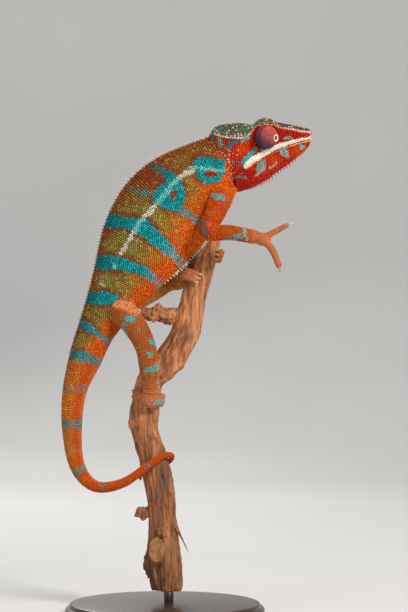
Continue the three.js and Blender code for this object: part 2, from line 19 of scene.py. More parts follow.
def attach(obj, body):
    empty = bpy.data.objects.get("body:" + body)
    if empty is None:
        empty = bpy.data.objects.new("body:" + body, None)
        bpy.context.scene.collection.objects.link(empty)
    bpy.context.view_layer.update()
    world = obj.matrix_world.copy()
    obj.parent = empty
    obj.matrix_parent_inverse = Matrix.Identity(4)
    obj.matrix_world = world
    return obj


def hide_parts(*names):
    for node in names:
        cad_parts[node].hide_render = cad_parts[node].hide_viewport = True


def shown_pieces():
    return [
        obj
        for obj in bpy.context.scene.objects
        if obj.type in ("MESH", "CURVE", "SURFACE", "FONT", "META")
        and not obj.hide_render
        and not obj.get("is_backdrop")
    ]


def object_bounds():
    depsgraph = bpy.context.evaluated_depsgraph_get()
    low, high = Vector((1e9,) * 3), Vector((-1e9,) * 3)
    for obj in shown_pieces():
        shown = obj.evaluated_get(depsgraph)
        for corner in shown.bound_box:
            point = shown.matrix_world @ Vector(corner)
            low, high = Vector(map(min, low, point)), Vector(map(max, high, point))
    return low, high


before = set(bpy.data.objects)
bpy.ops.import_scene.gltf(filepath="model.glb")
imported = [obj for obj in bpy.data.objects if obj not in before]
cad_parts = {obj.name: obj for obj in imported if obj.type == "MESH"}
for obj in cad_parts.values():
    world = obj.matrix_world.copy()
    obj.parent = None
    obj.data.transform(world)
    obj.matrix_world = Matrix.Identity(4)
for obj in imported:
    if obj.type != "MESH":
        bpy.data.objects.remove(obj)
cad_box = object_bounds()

MM = 0.001
scene = bpy.context.scene
print("frame nodes:", len(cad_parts))

# %% [markdown]
# ## Camera, floor and lights
# The camera looks level from the animal's right side, from far enough away that the lens flattens the
# view, as a long macro lens does. The floor is one pale sheet that curves up behind, so it has no
# horizon line. Large soft lamps keep the small highlights on the scales from burning out.

# %% Camera
def placed(name, data):
    """A new object in the scene."""
    made = bpy.data.objects.new(name, data)
    scene.collection.objects.link(made)
    return made


VIEW_DISTANCE = 1.6
VIEW_CENTRE = (27.3 * MM, 215.6 * MM)
VIEW_HEIGHT = 0.4284
camera_data = bpy.data.cameras.new("camera")
camera_data.sensor_width = 36
camera_data.lens = 36 * VIEW_DISTANCE / VIEW_HEIGHT
camera_data.clip_start = 0.05
camera = placed("camera", camera_data)
camera.location = (VIEW_CENTRE[0], -VIEW_DISTANCE, VIEW_CENTRE[1])
camera.rotation_euler = (math.pi / 2, 0, 0)
scene.camera = camera
scene.view_settings.view_transform = "Standard"
print("lens:", round(camera_data.lens, 1), "mm")


# %% Floor that curves up into a backdrop
def object_from(bm, name, scale=MM):
    """Make an object from a bmesh that was drawn in millimetres."""
    bmesh.ops.scale(bm, vec=(scale, scale, scale), verts=bm.verts)
    mesh = bpy.data.meshes.new(name)
    bm.to_mesh(mesh)
    bm.free()
    return placed(name, mesh)


FLOOR_HALF_WIDTH, FLOOR_RUN, FLAT_RUN = 4000, 8000, 5200
BEND_RADIUS, BEND_RUN = 600, 942  # a quarter turn


def backdrop():
    bm = bmesh.new()
    bmesh.ops.create_grid(bm, x_segments=2, y_segments=40, size=1)
    for v in bm.verts:
        run = (v.co.y + 1) / 2 * FLOOR_RUN
        bend = min(max(run - FLAT_RUN, 0), BEND_RUN)
        v.co.x *= FLOOR_HALF_WIDTH
        v.co.y = min(run, FLAT_RUN) - FLOOR_RUN / 2 + BEND_RADIUS * math.sin(bend / BEND_RADIUS)
        v.co.z = BEND_RADIUS * (1 - math.cos(bend / BEND_RADIUS)) + max(run - FLAT_RUN - BEND_RUN, 0)
    return object_from(bm, "backdrop")


floor = backdrop()
floor.data.shade_smooth()
floor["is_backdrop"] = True
print("floor and backdrop:", len(floor.data.polygons), "faces")


# %% Soft lamps
def lamp(name, place, aim, size, watts, colour=(1, 1, 1)):
    data = bpy.data.lights.new(name, "AREA")
    data.size = size
    data.energy = watts
    data.color = colour
    made = placed(name, data)
    made.location = place
    made.rotation_euler = (Vector(aim) - Vector(place)).to_track_quat("-Z", "Y").to_euler()


MIDDLE = (0.0, 0.0, 0.2)
lamp("key", (0.8, -1.0, 1.0), MIDDLE, 0.4, 21, (1.0, 0.97, 0.93))
lamp("fill", (-1.2, -1.0, 0.5), MIDDLE, 0.9, 4.5, (0.93, 0.96, 1.0))
lamp("rim", (-0.4, 1.1, 0.9), MIDDLE, 0.6, 8)
world = bpy.data.worlds.new("studio")
world.use_nodes = True
sky = world.node_tree.nodes["Background"].inputs
sky["Color"].default_value = (0.9, 0.93, 1.0, 1)
sky["Strength"].default_value = 0.36
scene.world = world

# %% [markdown]
# ## The tables of the body
# A chameleon is easiest to describe as runs: rows of a middle line with a size at each row. A smooth
# curve through the rows gives the size anywhere between them. The solids of the frame are shaped by
# nearly the same rows, so the skin fits them. All are in millimetres, as the frame's drawing is.

# %% Spine, limbs and branch rows
COAT = 0.35  # how deep the skin lies under the tops of its scales

SPINE = [  # x, y, z, half the height, half the width
    (51, 0, 317, 17, 10.5),
    (40, 0, 315.2, 21.2, 12),
    (21, 0, 299.9, 30.3, 13.6),
    (1.4, 0, 282.1, 34.2, 14.8),
    (-14.1, 0, 260.4, 31.4, 14.6),
    (-27.1, 0, 237.3, 23.9, 12.6),
    (-37.9, 0, 218, 17.6, 11),
    (-48.4, 0, 197.8, 13.2, 9.8),
    (-55.4, 0, 179.8, 11.7, 8.6),
    (-63, 0, 157.5, 8.8, 7.2),
    (-65.2, 0, 132.3, 7.3, 6.2),
    (-61.6, -1, 104.3, 5.6, 5),
    (-49, -3.5, 89.9, 4.3, 4.1),
    (-30.1, -7.5, 92, 3.6, 3.5),
]
TAIL_WRAP = [  # angle round the branch from the front towards +x, height, tail radius
    (-22, 103.8, 3),
    (38, 111.5, 2.5),
    (88, 110.2, 2.2),
    (140, 105, 2.1),
    (195, 100, 1.8),
    (245, 96.5, 1.5),
    (282, 94, 1.2),
]
BRANCH = [  # x, y, z, radius
    (2.8, 0, 10, 10.5),
    (-1.2, 0.5, 44.8, 11.6),
    (-2.1, 1.5, 72.8, 9.9),
    (-7, 3, 104.3, 10.1),
    (-14, 3, 128, 9.7),
    (-14.2, 3, 147, 9.6),
    (-9.5, 3, 165, 9.8),
    (3.5, 4, 178, 10.2),
    (14.3, 4.5, 198.1, 10.2),
    (20.3, 5, 224, 8.4),
    (24.8, 5.5, 237, 8.7),
    (28.6, 6, 249.5, 7.8),
    (31.4, 6.5, 258, 6.8),
    (33.4, 6.5, 266, 4.8),
]
STUBS = [  # start, end, radius at each
    ((15, 4, 207), (-18, 2, 211.5), 7.4, 3.6),
    ((-5, 1, 72), (-19.5, -1, 70.5), 4.6, 3.6),
    ((-3, -2, 46), (-6.8, -11.2, 46.9), 7.6, 5.8),
]
LIMBS = {  # x, y, z, radius
    "arm_right": [
        (37.4, -6, 297, 7.9),
        (36.4, -15.2, 282.6, 7.2),
        (29.8, -21, 267.6, 6.3),
        (47, -24, 266, 5.3),
        (68, -26, 262, 5.2),
    ],
    "arm_left": [
        (36.4, 6, 297, 7.9),
        (27.5, 22.5, 284, 7),
        (18.5, 33, 272, 6.2),
        (27, 27, 262, 5.3),
        (30.4, 17, 251, 4.6),
    ],
    "leg_right": [
        (-35, -4, 219, 10),
        (-21.6, -14, 203, 8.6),
        (-13.2, -19, 187.5, 7.5),
        (-10.9, -17.5, 171.5, 6.6),
        (-9.4, -11.5, 153.5, 5.6),
    ],
    "leg_left": [
        (-35, 4, 219, 9.5),
        (-16, 21, 222.5, 7.4),
        (2, 29.5, 232, 6.3),
        (8.6, 22, 232.6, 5.8),
        (14.6, 13, 234.6, 5),
    ],
}
print("rows:", len(SPINE), "along the spine,", len(BRANCH), "along the branch")

# %% A smooth value anywhere along a table
def cubic(a, b, c, d, f):
    """A smooth curve from b to c as f goes from 0 to 1; a and d are the points before and after."""
    here, there = (c - a) / 2, (d - b) / 2
    curve = 2 * b - 2 * c + here + there
    return ((curve * f - 3 * b + 3 * c - 2 * here - there) * f + here) * f + b


def smooth(rows, u):
    """Values of the rows at each u by a uniform cubic through every row."""
    rows = np.asarray(rows, float)
    u = np.atleast_1d(np.asarray(u, float))
    last = len(rows) - 1
    padded = np.vstack([2 * rows[0] - rows[1], rows, 2 * rows[-1] - rows[-2]])
    i = np.clip(np.floor(u).astype(int), 0, last - 1)
    f = (u - i)[:, None]
    return cubic(*(padded[i + k] for k in range(4)), f)


def unit(v):
    return v / np.maximum(np.linalg.norm(v, axis=-1, keepdims=True), 1e-9)


# %% Rows with a frame carried along them
class Run:
    """Rows with a frame carried along them, so that a section keeps its own up and side."""

    def __init__(self, rows, up, steps=600):
        self.rows = np.asarray(rows, float)
        self.last = len(rows) - 1
        self.u = np.linspace(0, self.last, steps)
        self.middle = smooth(self.rows, self.u)[:, :3]
        ahead = unit(np.gradient(self.middle, axis=0))
        lift = np.array(up, float)
        ups = []
        for a in ahead:
            lift = unit(lift - a * lift.dot(a))
            ups.append(lift)
        self.ahead, self.up = ahead, np.array(ups)
        self.side = np.cross(self.up, ahead)
        step = np.linalg.norm(np.diff(self.middle, axis=0), axis=1)
        self.walk = np.concatenate([[0], np.cumsum(step)])

    def pick(self, what, u):
        return np.stack([np.interp(u, self.u, what[:, k]) for k in range(3)], axis=-1)

    def at(self, u, side, up):
        """The point that is so far to the side of, and above, the middle line at u."""
        middle = smooth(self.rows, u)[:, :3]
        return middle + self.pick(self.side, u) * side[:, None] + self.pick(self.up, u) * up[:, None]


# %% The branch at one height
def branch_at(z):
    """The branch's middle point, radius and direction at a height."""
    u = np.linspace(0, len(BRANCH) - 1, 2000)
    rows = smooth(BRANCH, u)
    i = int(np.abs(rows[:, 2] - z).argmin())
    axis = unit(rows[min(i + 5, 1999), :3] - rows[max(i - 5, 0), :3])
    return rows[i, :3], rows[i, 3], axis


BARK_SWELL = 0.45
GAP = 0.3
spine_rows = list(SPINE)
for degrees, z, radius in TAIL_WRAP:
    (bx, by, _), wood, _ = branch_at(z)
    clear = wood + 2 * BARK_SWELL + GAP + radius
    turn = math.radians(degrees)
    spine_rows.append((bx + clear * math.sin(turn), by - clear * math.cos(turn), z, radius, radius))
spine = Run(spine_rows, (-0.5, 0, 0.86), 1200)
limbs = {name: Run(rows, (0, 0.1, 1)) for name, rows in LIMBS.items()}
branch_run = Run(BRANCH, (0, -1, 0))
print("from the neck to the tail's tip:", round(float(spine.walk[-1])), "mm")

# %% [markdown]
# ## Forms made from a sphere
# Each part of the body starts as a sphere. Its poles become the two ends of the part, and every ring
# between them is moved to the part's own section. That keeps each form closed, so that the forms can
# be fused into one skin afterwards.


# %% The sphere that becomes a part
def rounded(t, end):
    """How open a form is at t: it closes roundly over the share `end` at each end."""
    near = np.minimum(1, np.minimum(t, 1 - t) / end)
    return np.sqrt(np.maximum(0, 1 - (1 - near) ** 2))


def form(bm, place, along, around):
    made = bmesh.ops.create_uvsphere(bm, u_segments=around, v_segments=along, radius=1)["verts"]
    co = np.array([v.co for v in made])
    t = np.arccos(np.clip(co[:, 2], -1, 1)) / math.pi
    is_open = ((t > 1e-4) & (t < 1 - 1e-4)).astype(float)
    points = place(t, np.arctan2(co[:, 0], co[:, 1]), is_open)
    for v, p in zip(made, points):
        v.co = p


KEEL = 1.25  # above 1, the back and the belly come to a blunt edge


def flank(u, angle, grow=0.0):
    """A point of the trunk or tail, `angle` round from the back towards the right side."""
    row = smooth(spine_rows, u)
    across = np.sin(angle)
    side = (row[:, 4] + grow) * np.sign(across) * np.abs(across) ** KEEL
    return spine.at(u, side, (row[:, 3] + grow) * np.cos(angle))


def add_trunk_and_tail(bm):
    def place(t, angle, is_open):
        u = t * spine.last
        middle = smooth(spine_rows, u)[:, :3]
        share = is_open * np.where(t < 0.5, rounded(t, 0.045), rounded(t, 0.006))
        return middle + (flank(u, angle, -COAT) - middle) * share[:, None]

    form(bm, place, 420, 72)


def add_tube(bm, rows, along=40, around=20, end=0.12, grow=-COAT, up=(0, 0.1, 1)):
    run = Run(rows, up, 200)

    def place(t, angle, is_open):
        u = t * run.last
        reach = (smooth(rows, u)[:, 3] + grow) * is_open * rounded(t, end)
        return run.at(u, reach * np.sin(angle), reach * np.cos(angle))

    form(bm, place, along, around)


# %% [markdown]
# ## The head
# A panther chameleon's head is a wedge with a low helmet, the casque. A ridge runs from the snout over
# each eye and back round the casque. Each section of the head is a smooth closed line through seven
# named points: crown, crown slope, ridge, temple, cheek, jaw and throat. The whole head is rolled a
# little, because the animal tips its crown towards us.

# %% Head sections
HEAD_AT = np.array([63.0, 0, 324.8])
ROLL = math.radians(17)
HEAD_SECTIONS = [  # x, crown, ridge half-width, ridge height, cheek half-width, cheek height, throat
    (-33, 14.4, 2.6, 13.4, 4, 6, -4),
    (-24, 18.2, 8.6, 11.9, 11, 0, -18),
    (-14, 19.6, 11.2, 10.9, 13.2, -6, -30.5),
    (-6.3, 19.2, 10, 11.6, 13.6, -8, -29.3),
    (-0.7, 17.3, 8.2, 17, 13, -8, -26.8),
    (5, 17, 7.6, 19.9, 12, -7, -23.6),
    (10.5, 16.8, 7.4, 19.7, 10.8, -5.5, -20.1),
    (17.5, 15.2, 6.8, 17.4, 9.3, -3, -14.6),
    (24.5, 13.8, 6, 16.1, 7.8, 0, -9.5),
    (31.5, 12.8, 5.2, 14.4, 6, 3, -3.2),
    (36, 12.2, 4, 13.6, 4.6, 5.5, 1.2),
    (38.8, 12, 2.8, 12.8, 3.4, 7.5, 4.6),
]


# %% The head's own frame
def in_world(p):
    """Points of the head's own frame, in the model's frame."""
    x, y, z = np.asarray(p, float).T
    c, s = math.cos(ROLL), math.sin(ROLL)
    return np.stack([x, y * c - z * s, z * c + y * s], axis=-1) + HEAD_AT


def in_head(p):
    x, y, z = (np.asarray(p, float) - HEAD_AT).T
    c, s = math.cos(ROLL), math.sin(ROLL)
    return np.stack([x, y * c + z * s, z * c - y * s], axis=-1)


def head_way(way):
    """A direction of the head's frame, in the model's frame."""
    return np.subtract(*in_world([way, (0, 0, 0)]))


# %% One section of the head
def head_section(row, angle):
    """Half-width and height of the head at `angle` round from the crown, for each table row."""
    crown, ridge_out, ridge_up, cheek_out, cheek_up, throat = row[:, 1:].T
    mix = lambda a, b, f: a + (b - a) * f
    outline = [
        (0 * crown, crown),
        (ridge_out * 0.55, mix(crown, ridge_up, 0.42)),
        (ridge_out, ridge_up),
        (mix(ridge_out, cheek_out, 0.4) - 0.5, mix(ridge_up, cheek_up, 0.42)),
        (cheek_out, cheek_up),
        (cheek_out * 0.74, mix(cheek_up, throat, 0.62)),
        (0 * crown, throat),
    ]
    outline = [(-outline[1][0], outline[1][1]), *outline, (-outline[5][0], outline[5][1])]
    points = np.array(outline).transpose(2, 0, 1)
    place = np.abs(angle) / math.pi * 6 + 1
    i = np.clip(np.floor(place).astype(int), 1, 6)
    f = (place - i)[:, None]
    k = np.arange(len(i))
    return cubic(*(points[k, i + n] for n in (-1, 0, 1, 2)), f)


# %% The head and its two ridges
def head_point(t, angle, is_open=1.0, grow=0.0):
    row = smooth(HEAD_SECTIONS, t * (len(HEAD_SECTIONS) - 1))
    out, up = head_section(row, angle).T
    middle = (row[:, 1] + row[:, 6]) / 2
    share = is_open * rounded(t, 0.06) * (1 + grow / 12)
    x, y = row[:, 0], np.sign(angle) * out * share
    return in_world(np.stack([x, y, middle + (up - middle) * share], axis=-1))


def add_head(bm):
    form(bm, lambda t, angle, is_open: head_point(t, angle, is_open, -COAT), 130, 120)
    for way in (1, -1):  # the bony ridge from the back of the helmet to the tip of the snout
        ridge = [(r[0], way * (r[2] - 0.5), r[3] - 0.35) for r in HEAD_SECTIONS[1:]]
        thick = [0.7, 1.0, 1.05, 1.0, 0.95, 0.95, 1.0, 1.05, 1.15, 1.3, 1.2]
        add_tube(bm, [(*p, r) for p, r in zip(in_world(ridge), thick)], 160, 14, 0.03, 0.0)
    palm(bm, in_world([[36.9, 0, 12.1]])[0], (2.9, 3.3, 2.1), np.eye(3))


# %% [markdown]
# ## Hands and feet like tongs
# A chameleon's toes are fused into two bundles that close round a branch like tongs: two toes against
# three. Each toe is a tube that wraps round the branch at its own height, and the palm is a flattened
# ball. The free right hand is open, with its bundles spread in a V.

# %% Toes, as runs
GRIPS = {
    "foot_right": {
        "z": 152,
        "facing": 20,
        "palm": (5.4, 8.6, 7.2),
        "bundles": [(-1, 2, 3.4, -4.8, 16, 74), (1, 3, 3.2, -3.8, 18, 92)],
    },
    "foot_left": {
        "z": 234.5,
        "facing": 232,
        "palm": (5.0, 8.0, 6.6),
        "bundles": [(1, 3, 3.6, -3.7, 18, 128), (-1, 2, 2.0, -4.4, 18, 88)],
    },
    "hand_left": {
        "z": 254.5,
        "facing": 170,
        "palm": (4.8, 7.0, 6.0),
        "bundles": [(-1, 3, 3.0, -4.0, 16, 124), (1, 2, 1.6, -4.0, 16, 96)],
    },
}
OPEN_HAND = [  # number of toes, sideways spacing, radius at the root and the tip, middle line
    (2, 3.2, 2.8, 2.0, [(68.5, -26, 262.6), (77.8, -26, 267.6), (86.4, -26.5, 272.0)]),
    (3, 2.9, 3.1, 2.1, [(68.5, -26, 261.6), (75.2, -26, 252.9), (79.9, -25, 241.4)]),
]
TOE_ROOT, TOE_TIP = 2.5, 1.6


# %% Webs of skin between the toes
def grip_frame(grip):
    centre, wood, axis = branch_at(grip["z"])
    turn = math.radians(grip["facing"])
    out = np.array([math.sin(turn), -math.cos(turn), 0])
    out = unit(out - axis * out.dot(axis))
    return centre, wood, axis, out, np.cross(axis, out)


def add_webs(bm, grip):
    """The mitten of skin that holds the toes of each bundle together."""
    centre, wood, axis, out, across = grip_frame(grip)
    for side, count, first, spacing, start, end in grip["bundles"]:
        middle, width = first + (count - 1) / 2 * spacing, (count - 1) / 2 * abs(spacing) * 0.85

        def place(t, angle, is_open, side=side, middle=middle, width=width, start=start, end=end):
            turn = np.radians(start + (end - 4 - start) * t)[:, None]
            thick = TOE_ROOT + (TOE_TIP - TOE_ROOT) * t
            ring = out * np.cos(turn) + across * side * np.sin(turn)
            half = (width + thick * 0.72) * is_open * rounded(t, 0.12)
            flat = thick * 0.86 * is_open * rounded(t, 0.12)
            at = centre + axis * (middle * (0.7 + 0.3 * t))[:, None]
            at = at + ring * (wood + BARK_SWELL + thick)[:, None]
            return at + axis * (half * np.cos(angle))[:, None] + ring * (flat * np.sin(angle))[:, None]

        form(bm, place, 30, 24)


# %% Toes that grip and toes that are free
def wrapped_toes(grip):
    """Each toe of a gripping foot: its rows and the way its claw bends."""
    centre, wood, axis, out, across = grip_frame(grip)
    toes = []
    for side, count, first, spacing, start, end in grip["bundles"]:
        for i in range(count):
            rows = []
            rise = first + i * spacing * 0.85 + (count - 1) * spacing * 0.075
            for f in np.linspace(0, 1, 7):
                turn = math.radians(start + (end - start - 3 * i) * f)
                thick = TOE_ROOT + (TOE_TIP - TOE_ROOT) * f
                clear = wood + BARK_SWELL + thick + 0.1
                at = centre + axis * rise * (0.7 + 0.3 * f)
                at = at + out * clear * math.cos(turn) + across * side * clear * math.sin(turn)
                rows.append((*at, thick))
            toes.append((rows, centre - np.array(rows[-1][:3])))
    return toes


def open_toes():
    toes = []
    for count, spread, root, tip, line in OPEN_HAND:
        for i in range(count):
            aside = (i - (count - 1) / 2) * spread
            rows = []
            for f in np.linspace(0, 1, 6):
                x, y, z = smooth(line, [f * 2])[0]
                gap = aside * (0.8 + 0.35 * f)
                rows.append((x - 0.2 * abs(aside) * f, y + gap, z, root + (tip - root) * f))
            bend = np.array([1.0, 0, -1.0]) * (1 if count == 2 else -1)
            toes.append((rows, bend))
    return toes


# %% Palms
def palm(bm, centre, sizes, axes):
    matrix = Matrix([[*axes[i]] for i in range(3)]).transposed().to_4x4()
    scale = Matrix.Diagonal((*[s - COAT for s in sizes], 1))
    matrix = Matrix.Translation(Vector(centre)) @ matrix @ scale
    bmesh.ops.create_uvsphere(bm, u_segments=32, v_segments=20, radius=1, matrix=matrix)


toes = {name: wrapped_toes(grip) for name, grip in GRIPS.items()}
toes["hand_right"] = open_toes()
print("toes:", sum(len(t) for t in toes.values()))

# %% [markdown]
# ## One skin over everything
# Trunk, tail, head, legs, palms and toes are drawn as closed forms that run into each other. A voxel
# remesh fuses them into a single closed surface, like shrink-wrap, and a few passes of smoothing turn
# the sharp joins into the soft webs of real armpits and knees.


# %% Fuse the forms
def applied(rough):
    """The mesh of an object with its modifiers applied. The rough object itself is removed."""
    ready = rough.evaluated_get(bpy.context.evaluated_depsgraph_get())
    mesh = bpy.data.meshes.new_from_object(ready)
    bpy.data.objects.remove(rough)
    return mesh


def fused(bm, name, voxel, passes):
    """Remesh the forms in bm into one surface, in millimetres, and smooth it."""
    bmesh.ops.recalc_face_normals(bm, faces=bm.faces)
    rough = object_from(bm, name + "_rough", 1)
    remesh = rough.modifiers.new("fuse", "REMESH")
    remesh.mode = "VOXEL"
    remesh.voxel_size = voxel
    soften = rough.modifiers.new("soften", "SMOOTH")
    soften.factor = 0.5
    soften.iterations = passes
    return applied(rough)


def read(rows, name, width=3, kind=float):
    """One value of every row of a mesh, as an array."""
    flat = np.empty(len(rows) * width, kind)
    rows.foreach_get(name, flat)
    return flat.reshape(-1, width) if width > 1 else flat


def coordinates(mesh):
    return read(mesh.vertices, "co")


def vertex_normals(mesh):
    return read(mesh.vertex_normals, "vector")


def move_vertices(mesh, points):
    mesh.vertices.foreach_set("co", np.ascontiguousarray(points).ravel())
    mesh.update()


VOXEL = 0.66
bm = bmesh.new()
add_trunk_and_tail(bm)
add_head(bm)
for rows in LIMBS.values():
    add_tube(bm, rows, 90, 36, 0.1)
for name, grip in GRIPS.items():
    centre, wood, axis, out, across = grip_frame(grip)
    sizes = grip["palm"]
    palm(bm, centre + out * (wood + BARK_SWELL + sizes[0] * 0.72), sizes, (out, across, axis))
    add_webs(bm, grip)
palm(bm, (68.0, -26, 261.6), (6.0, 4.8, 4.9), np.eye(3))
for name, made in toes.items():
    for rows, bend in made:
        add_tube(bm, rows, 24, 14, 0.12)
skin_mesh = fused(bm, "skin", VOXEL, 5)
print("skin before sculpting:", len(skin_mesh.polygons), "faces")


# %% Softer meetings of neck and chest, arm and chest, thigh and belly
def soften_near(mesh, spots, passes):
    bm = bmesh.new()
    bm.from_mesh(mesh)
    points = np.array([v.co for v in bm.verts])
    near = np.zeros(len(points), bool)
    for x, y, z, reach in spots:
        near |= np.linalg.norm(points - (x, y, z), axis=1) < reach
    verts = [v for v, wanted in zip(bm.verts, near) if wanted]
    for _ in range(passes):
        axes = {"use_axis_" + axis: True for axis in "xyz"}
        bmesh.ops.smooth_vert(bm, verts=verts, factor=0.5, **axes)
    bm.to_mesh(mesh)
    bm.free()


MEETINGS = [(49, -8, 306, 12), (49, 8, 306, 12), (49, 0, 298, 10), (48, -10, 318, 8), (48, 10, 318, 8)]
MEETINGS += [(63.5, -26, 262.4, 4.5), (40, -9, 292, 7), (30, -11, 300, 6)]
MEETINGS += [(-27, -12, 213, 6), (-32, -9, 210, 6), (-22, -10, 212, 6)]
soften_near(skin_mesh, MEETINGS, 34)
print("softened places:", len(MEETINGS))

# %% [markdown]
# ## A chart of the body
# To paint a coat we must know, for any point of the fused skin, which part it came from and where on
# that part it is. We scatter labelled points over the plain forms and look up the nearest one with a
# KD-tree, which is a fast table of nearest points.

# %% Chart
PARTS = ["body", "head", *LIMBS, "toes"]
chart_rows = []


def note(part, u, turn, points):
    label = np.full(len(u), PARTS.index(part), float)
    chart_rows.append(np.column_stack([points, label, u, turn]))


def grid(first, second, count_first, count_second):
    a, b = np.meshgrid(np.linspace(*first, count_first), np.linspace(*second, count_second, False))
    return a.ravel(), b.ravel()


ROUND = (-math.pi, math.pi)
u, turn = grid((0.01, spine.last - 0.01), ROUND, 900, 44)
note("body", u, turn, flank(u, turn, -COAT))
u, turn = grid((0.02, 0.98), ROUND, 90, 60)
note("head", u, turn, head_point(u, turn, 1.0, -COAT))
for name, rows in LIMBS.items():
    u, turn = grid((0.1, 3.9), ROUND, 90, 20)
    reach = smooth(rows, u)[:, 3] - COAT
    note(name, u, turn, limbs[name].at(u, reach * np.sin(turn), reach * np.cos(turn)))
for name, made in toes.items():
    for rows, bend in made:
        points = smooth(rows, np.linspace(0, len(rows) - 1, 30))
        for side in (1, -1):
            shift = np.roll(np.eye(3), 1, axis=0) * side
            for way in shift:
                note("toes", np.zeros(30), np.zeros(30), points[:, :3] + way * points[:, 3:] * 0.8)
chart = np.vstack(chart_rows)
chart_tree = KDTree(len(chart))
for i, row in enumerate(chart):
    chart_tree.insert(row[:3], i)
chart_tree.balance()


def belongs(points):
    """Part, place along it and turn round it, for each point, in millimetres."""
    rows = chart[[chart_tree.find(p)[1] for p in points]]
    return rows[:, 3].astype(int), rows[:, 4], rows[:, 5]


print("chart points:", len(chart))

# %% [markdown]
# ## Sculpting the skin
# The fused skin is smooth like clay. Moving its points along their own directions adds what a smooth
# form lacks: the lip line, the nostril, the ring of skin the eye sits in, and soft folds where the
# neck and the limbs bend. Points that ended up inside the wood are pushed back out to its surface.

# %% Lines of the face, in the head's own frame
LIP_STRIPE = [(38, 9.4, 0.55), (31.5, 8.7, 0.75), (24.5, 7.2, 0.95), (14, 4.1, 1.4)]
LIP_STRIPE += [(7, 0.6, 1.8), (-0.7, -3.3, 2.0), (-6.3, -8.3, 2.1)]
MOUTH = [(38.8, 8.1, 0), (31.5, 7.2, 0), (24.5, 5.2, 0), (14, 1.5, 0)]
MOUTH += [(7, -2.2, 0), (-0.7, -6.4, 0), (-6.3, -11, 0)]
EYE = np.array([7.5, 9.6, 11.5])
EYE_RADIUS = 8.6
NOSTRIL = np.array([26.1, 6.4, 10.9])


def stroke(x, z, points):
    """How far inside a stroke of given half-widths each place lies; outside is negative."""
    inside = np.full(np.shape(x), -99.0)
    for (ax, az, aw), (bx, bz, bw) in zip(points, points[1:]):
        dx, dz = bx - ax, bz - az
        f = np.clip(((x - ax) * dx + (z - az) * dz) / max(dx * dx + dz * dz, 1e-6), 0, 1)
        inside = np.maximum(inside, aw + (bw - aw) * f - np.hypot(x - ax - dx * f, z - az - dz * f))
    return inside


def bell(distance, width):
    return np.exp(-((distance / width) ** 2))


def both_sides(face):
    """Left and right folded onto one side, as the face is the same on both."""
    return np.column_stack([face[:, 0], np.abs(face[:, 1]), face[:, 2]])


# %% Finer faces where the face needs them
def refine(mesh):
    bm = bmesh.new()
    bm.from_mesh(mesh)
    points = in_head([v.co for v in bm.verts])
    near_lip = stroke(points[:, 0], points[:, 2], MOUTH) > -1.3
    away = np.linalg.norm(both_sides(points) - EYE, axis=1)
    wanted = (near_lip | (np.abs(away - EYE_RADIUS - 0.6) < 1.6)) & (points[:, 0] > -9)
    edges = [e for e in bm.edges if wanted[e.verts[0].index] and wanted[e.verts[1].index]]
    bmesh.ops.subdivide_edges(bm, edges=edges, cuts=1, use_grid_fill=True)
    bm.to_mesh(mesh)
    bm.free()


refine(skin_mesh)
skin_points = coordinates(skin_mesh)
part, along, turn = belongs(skin_points)
normals = vertex_normals(skin_mesh)
print("skin points:", len(skin_points))

# %% Lips, eye sockets, nostrils and folds
face = in_head(skin_points)
mirrored = both_sides(face)
on_head = part == PARTS.index("head")
lip = -stroke(face[:, 0], face[:, 2], MOUTH)
push = -0.75 * bell(lip, 0.5) + 0.28 * bell(lip - 1.3, 0.8)
rim = np.linalg.norm(mirrored - EYE, axis=1) - EYE_RADIUS
push += 0.55 * bell(rim - 0.7, 0.75) - 0.5 * bell(rim - 2.4, 1.2)
push -= 1.1 * bell(np.linalg.norm(mirrored - NOSTRIL, axis=1), 0.9)
push -= 1.2 * bell(np.hypot(face[:, 0] - 38.6, face[:, 2] - 9.9), 0.9)
push *= on_head
on_body = part == 0
creases = 0.22 * np.sin(face[:, 0] * 1.6 + face[:, 2] * 0.8 + np.sin(face[:, 2] * 0.5))
push += creases * bell(np.hypot(face[:, 0] + 15, (face[:, 2] + 10) * 0.7), 7.5)
for name in LIMBS:
    here = part == PARTS.index(name)
    bend = bell(along - 2.0, 0.35) + 0.7 * bell(along - 3.4, 0.3)
    push += here * -0.28 * bend * np.maximum(0, np.sin(along * 22)) ** 2
skin_points = skin_points + normals * push[:, None]
print("deepest fold:", round(float(-push.min()), 2), "mm")

# %% Keep the skin out of the wood
def wood_clearance(points):
    """Distance of points from the branch's surface, and the way out of it."""
    gap = np.full(len(points), 99.0)
    way = np.zeros((len(points), 3))
    rows = smooth(BRANCH, np.linspace(0, len(BRANCH) - 1, 500))
    for first in range(0, len(points), 4000):
        some = points[first : first + 4000]
        apart = some[:, None, :] - rows[None, :, :3]
        nearest = np.linalg.norm(apart, axis=2).argmin(axis=1)
        offset = apart[np.arange(len(some)), nearest]
        distance = np.linalg.norm(offset, axis=1)
        gap[first : first + 4000] = distance - rows[nearest, 3]
        way[first : first + 4000] = unit(offset)
    return gap, way


WOOD_TOP = 262  # above this the branch is broken off
WOOD_GAP = 0.25
close = np.flatnonzero(skin_points[:, 0] > -30)
gap, way = wood_clearance(skin_points[close])
inside = (gap < WOOD_GAP) & (skin_points[close][:, 2] < WOOD_TOP)
skin_points[close[inside]] += way[inside] * (WOOD_GAP - gap[inside])[:, None]
move_vertices(skin_mesh, skin_points)
print("points moved out of the wood:", int(inside.sum()))

# %% [markdown]
# ## Painting the markings
# The markings are strokes: a middle line with a half-width at each point, like brush strokes. Each
# scale asks every stroke whether it lies inside, and takes one whole colour. Because scales near an
# edge decide by their own random number, the bars get the ragged, speckled edges of real ones.


# %% Colours
def ink(r, g, b):
    """A colour given as screen values, in the linear values that the shader works in."""
    c = np.array([r, g, b]) / 255
    return np.where(c <= 0.04045, c / 12.92, ((c + 0.055) / 1.055) ** 2.4)


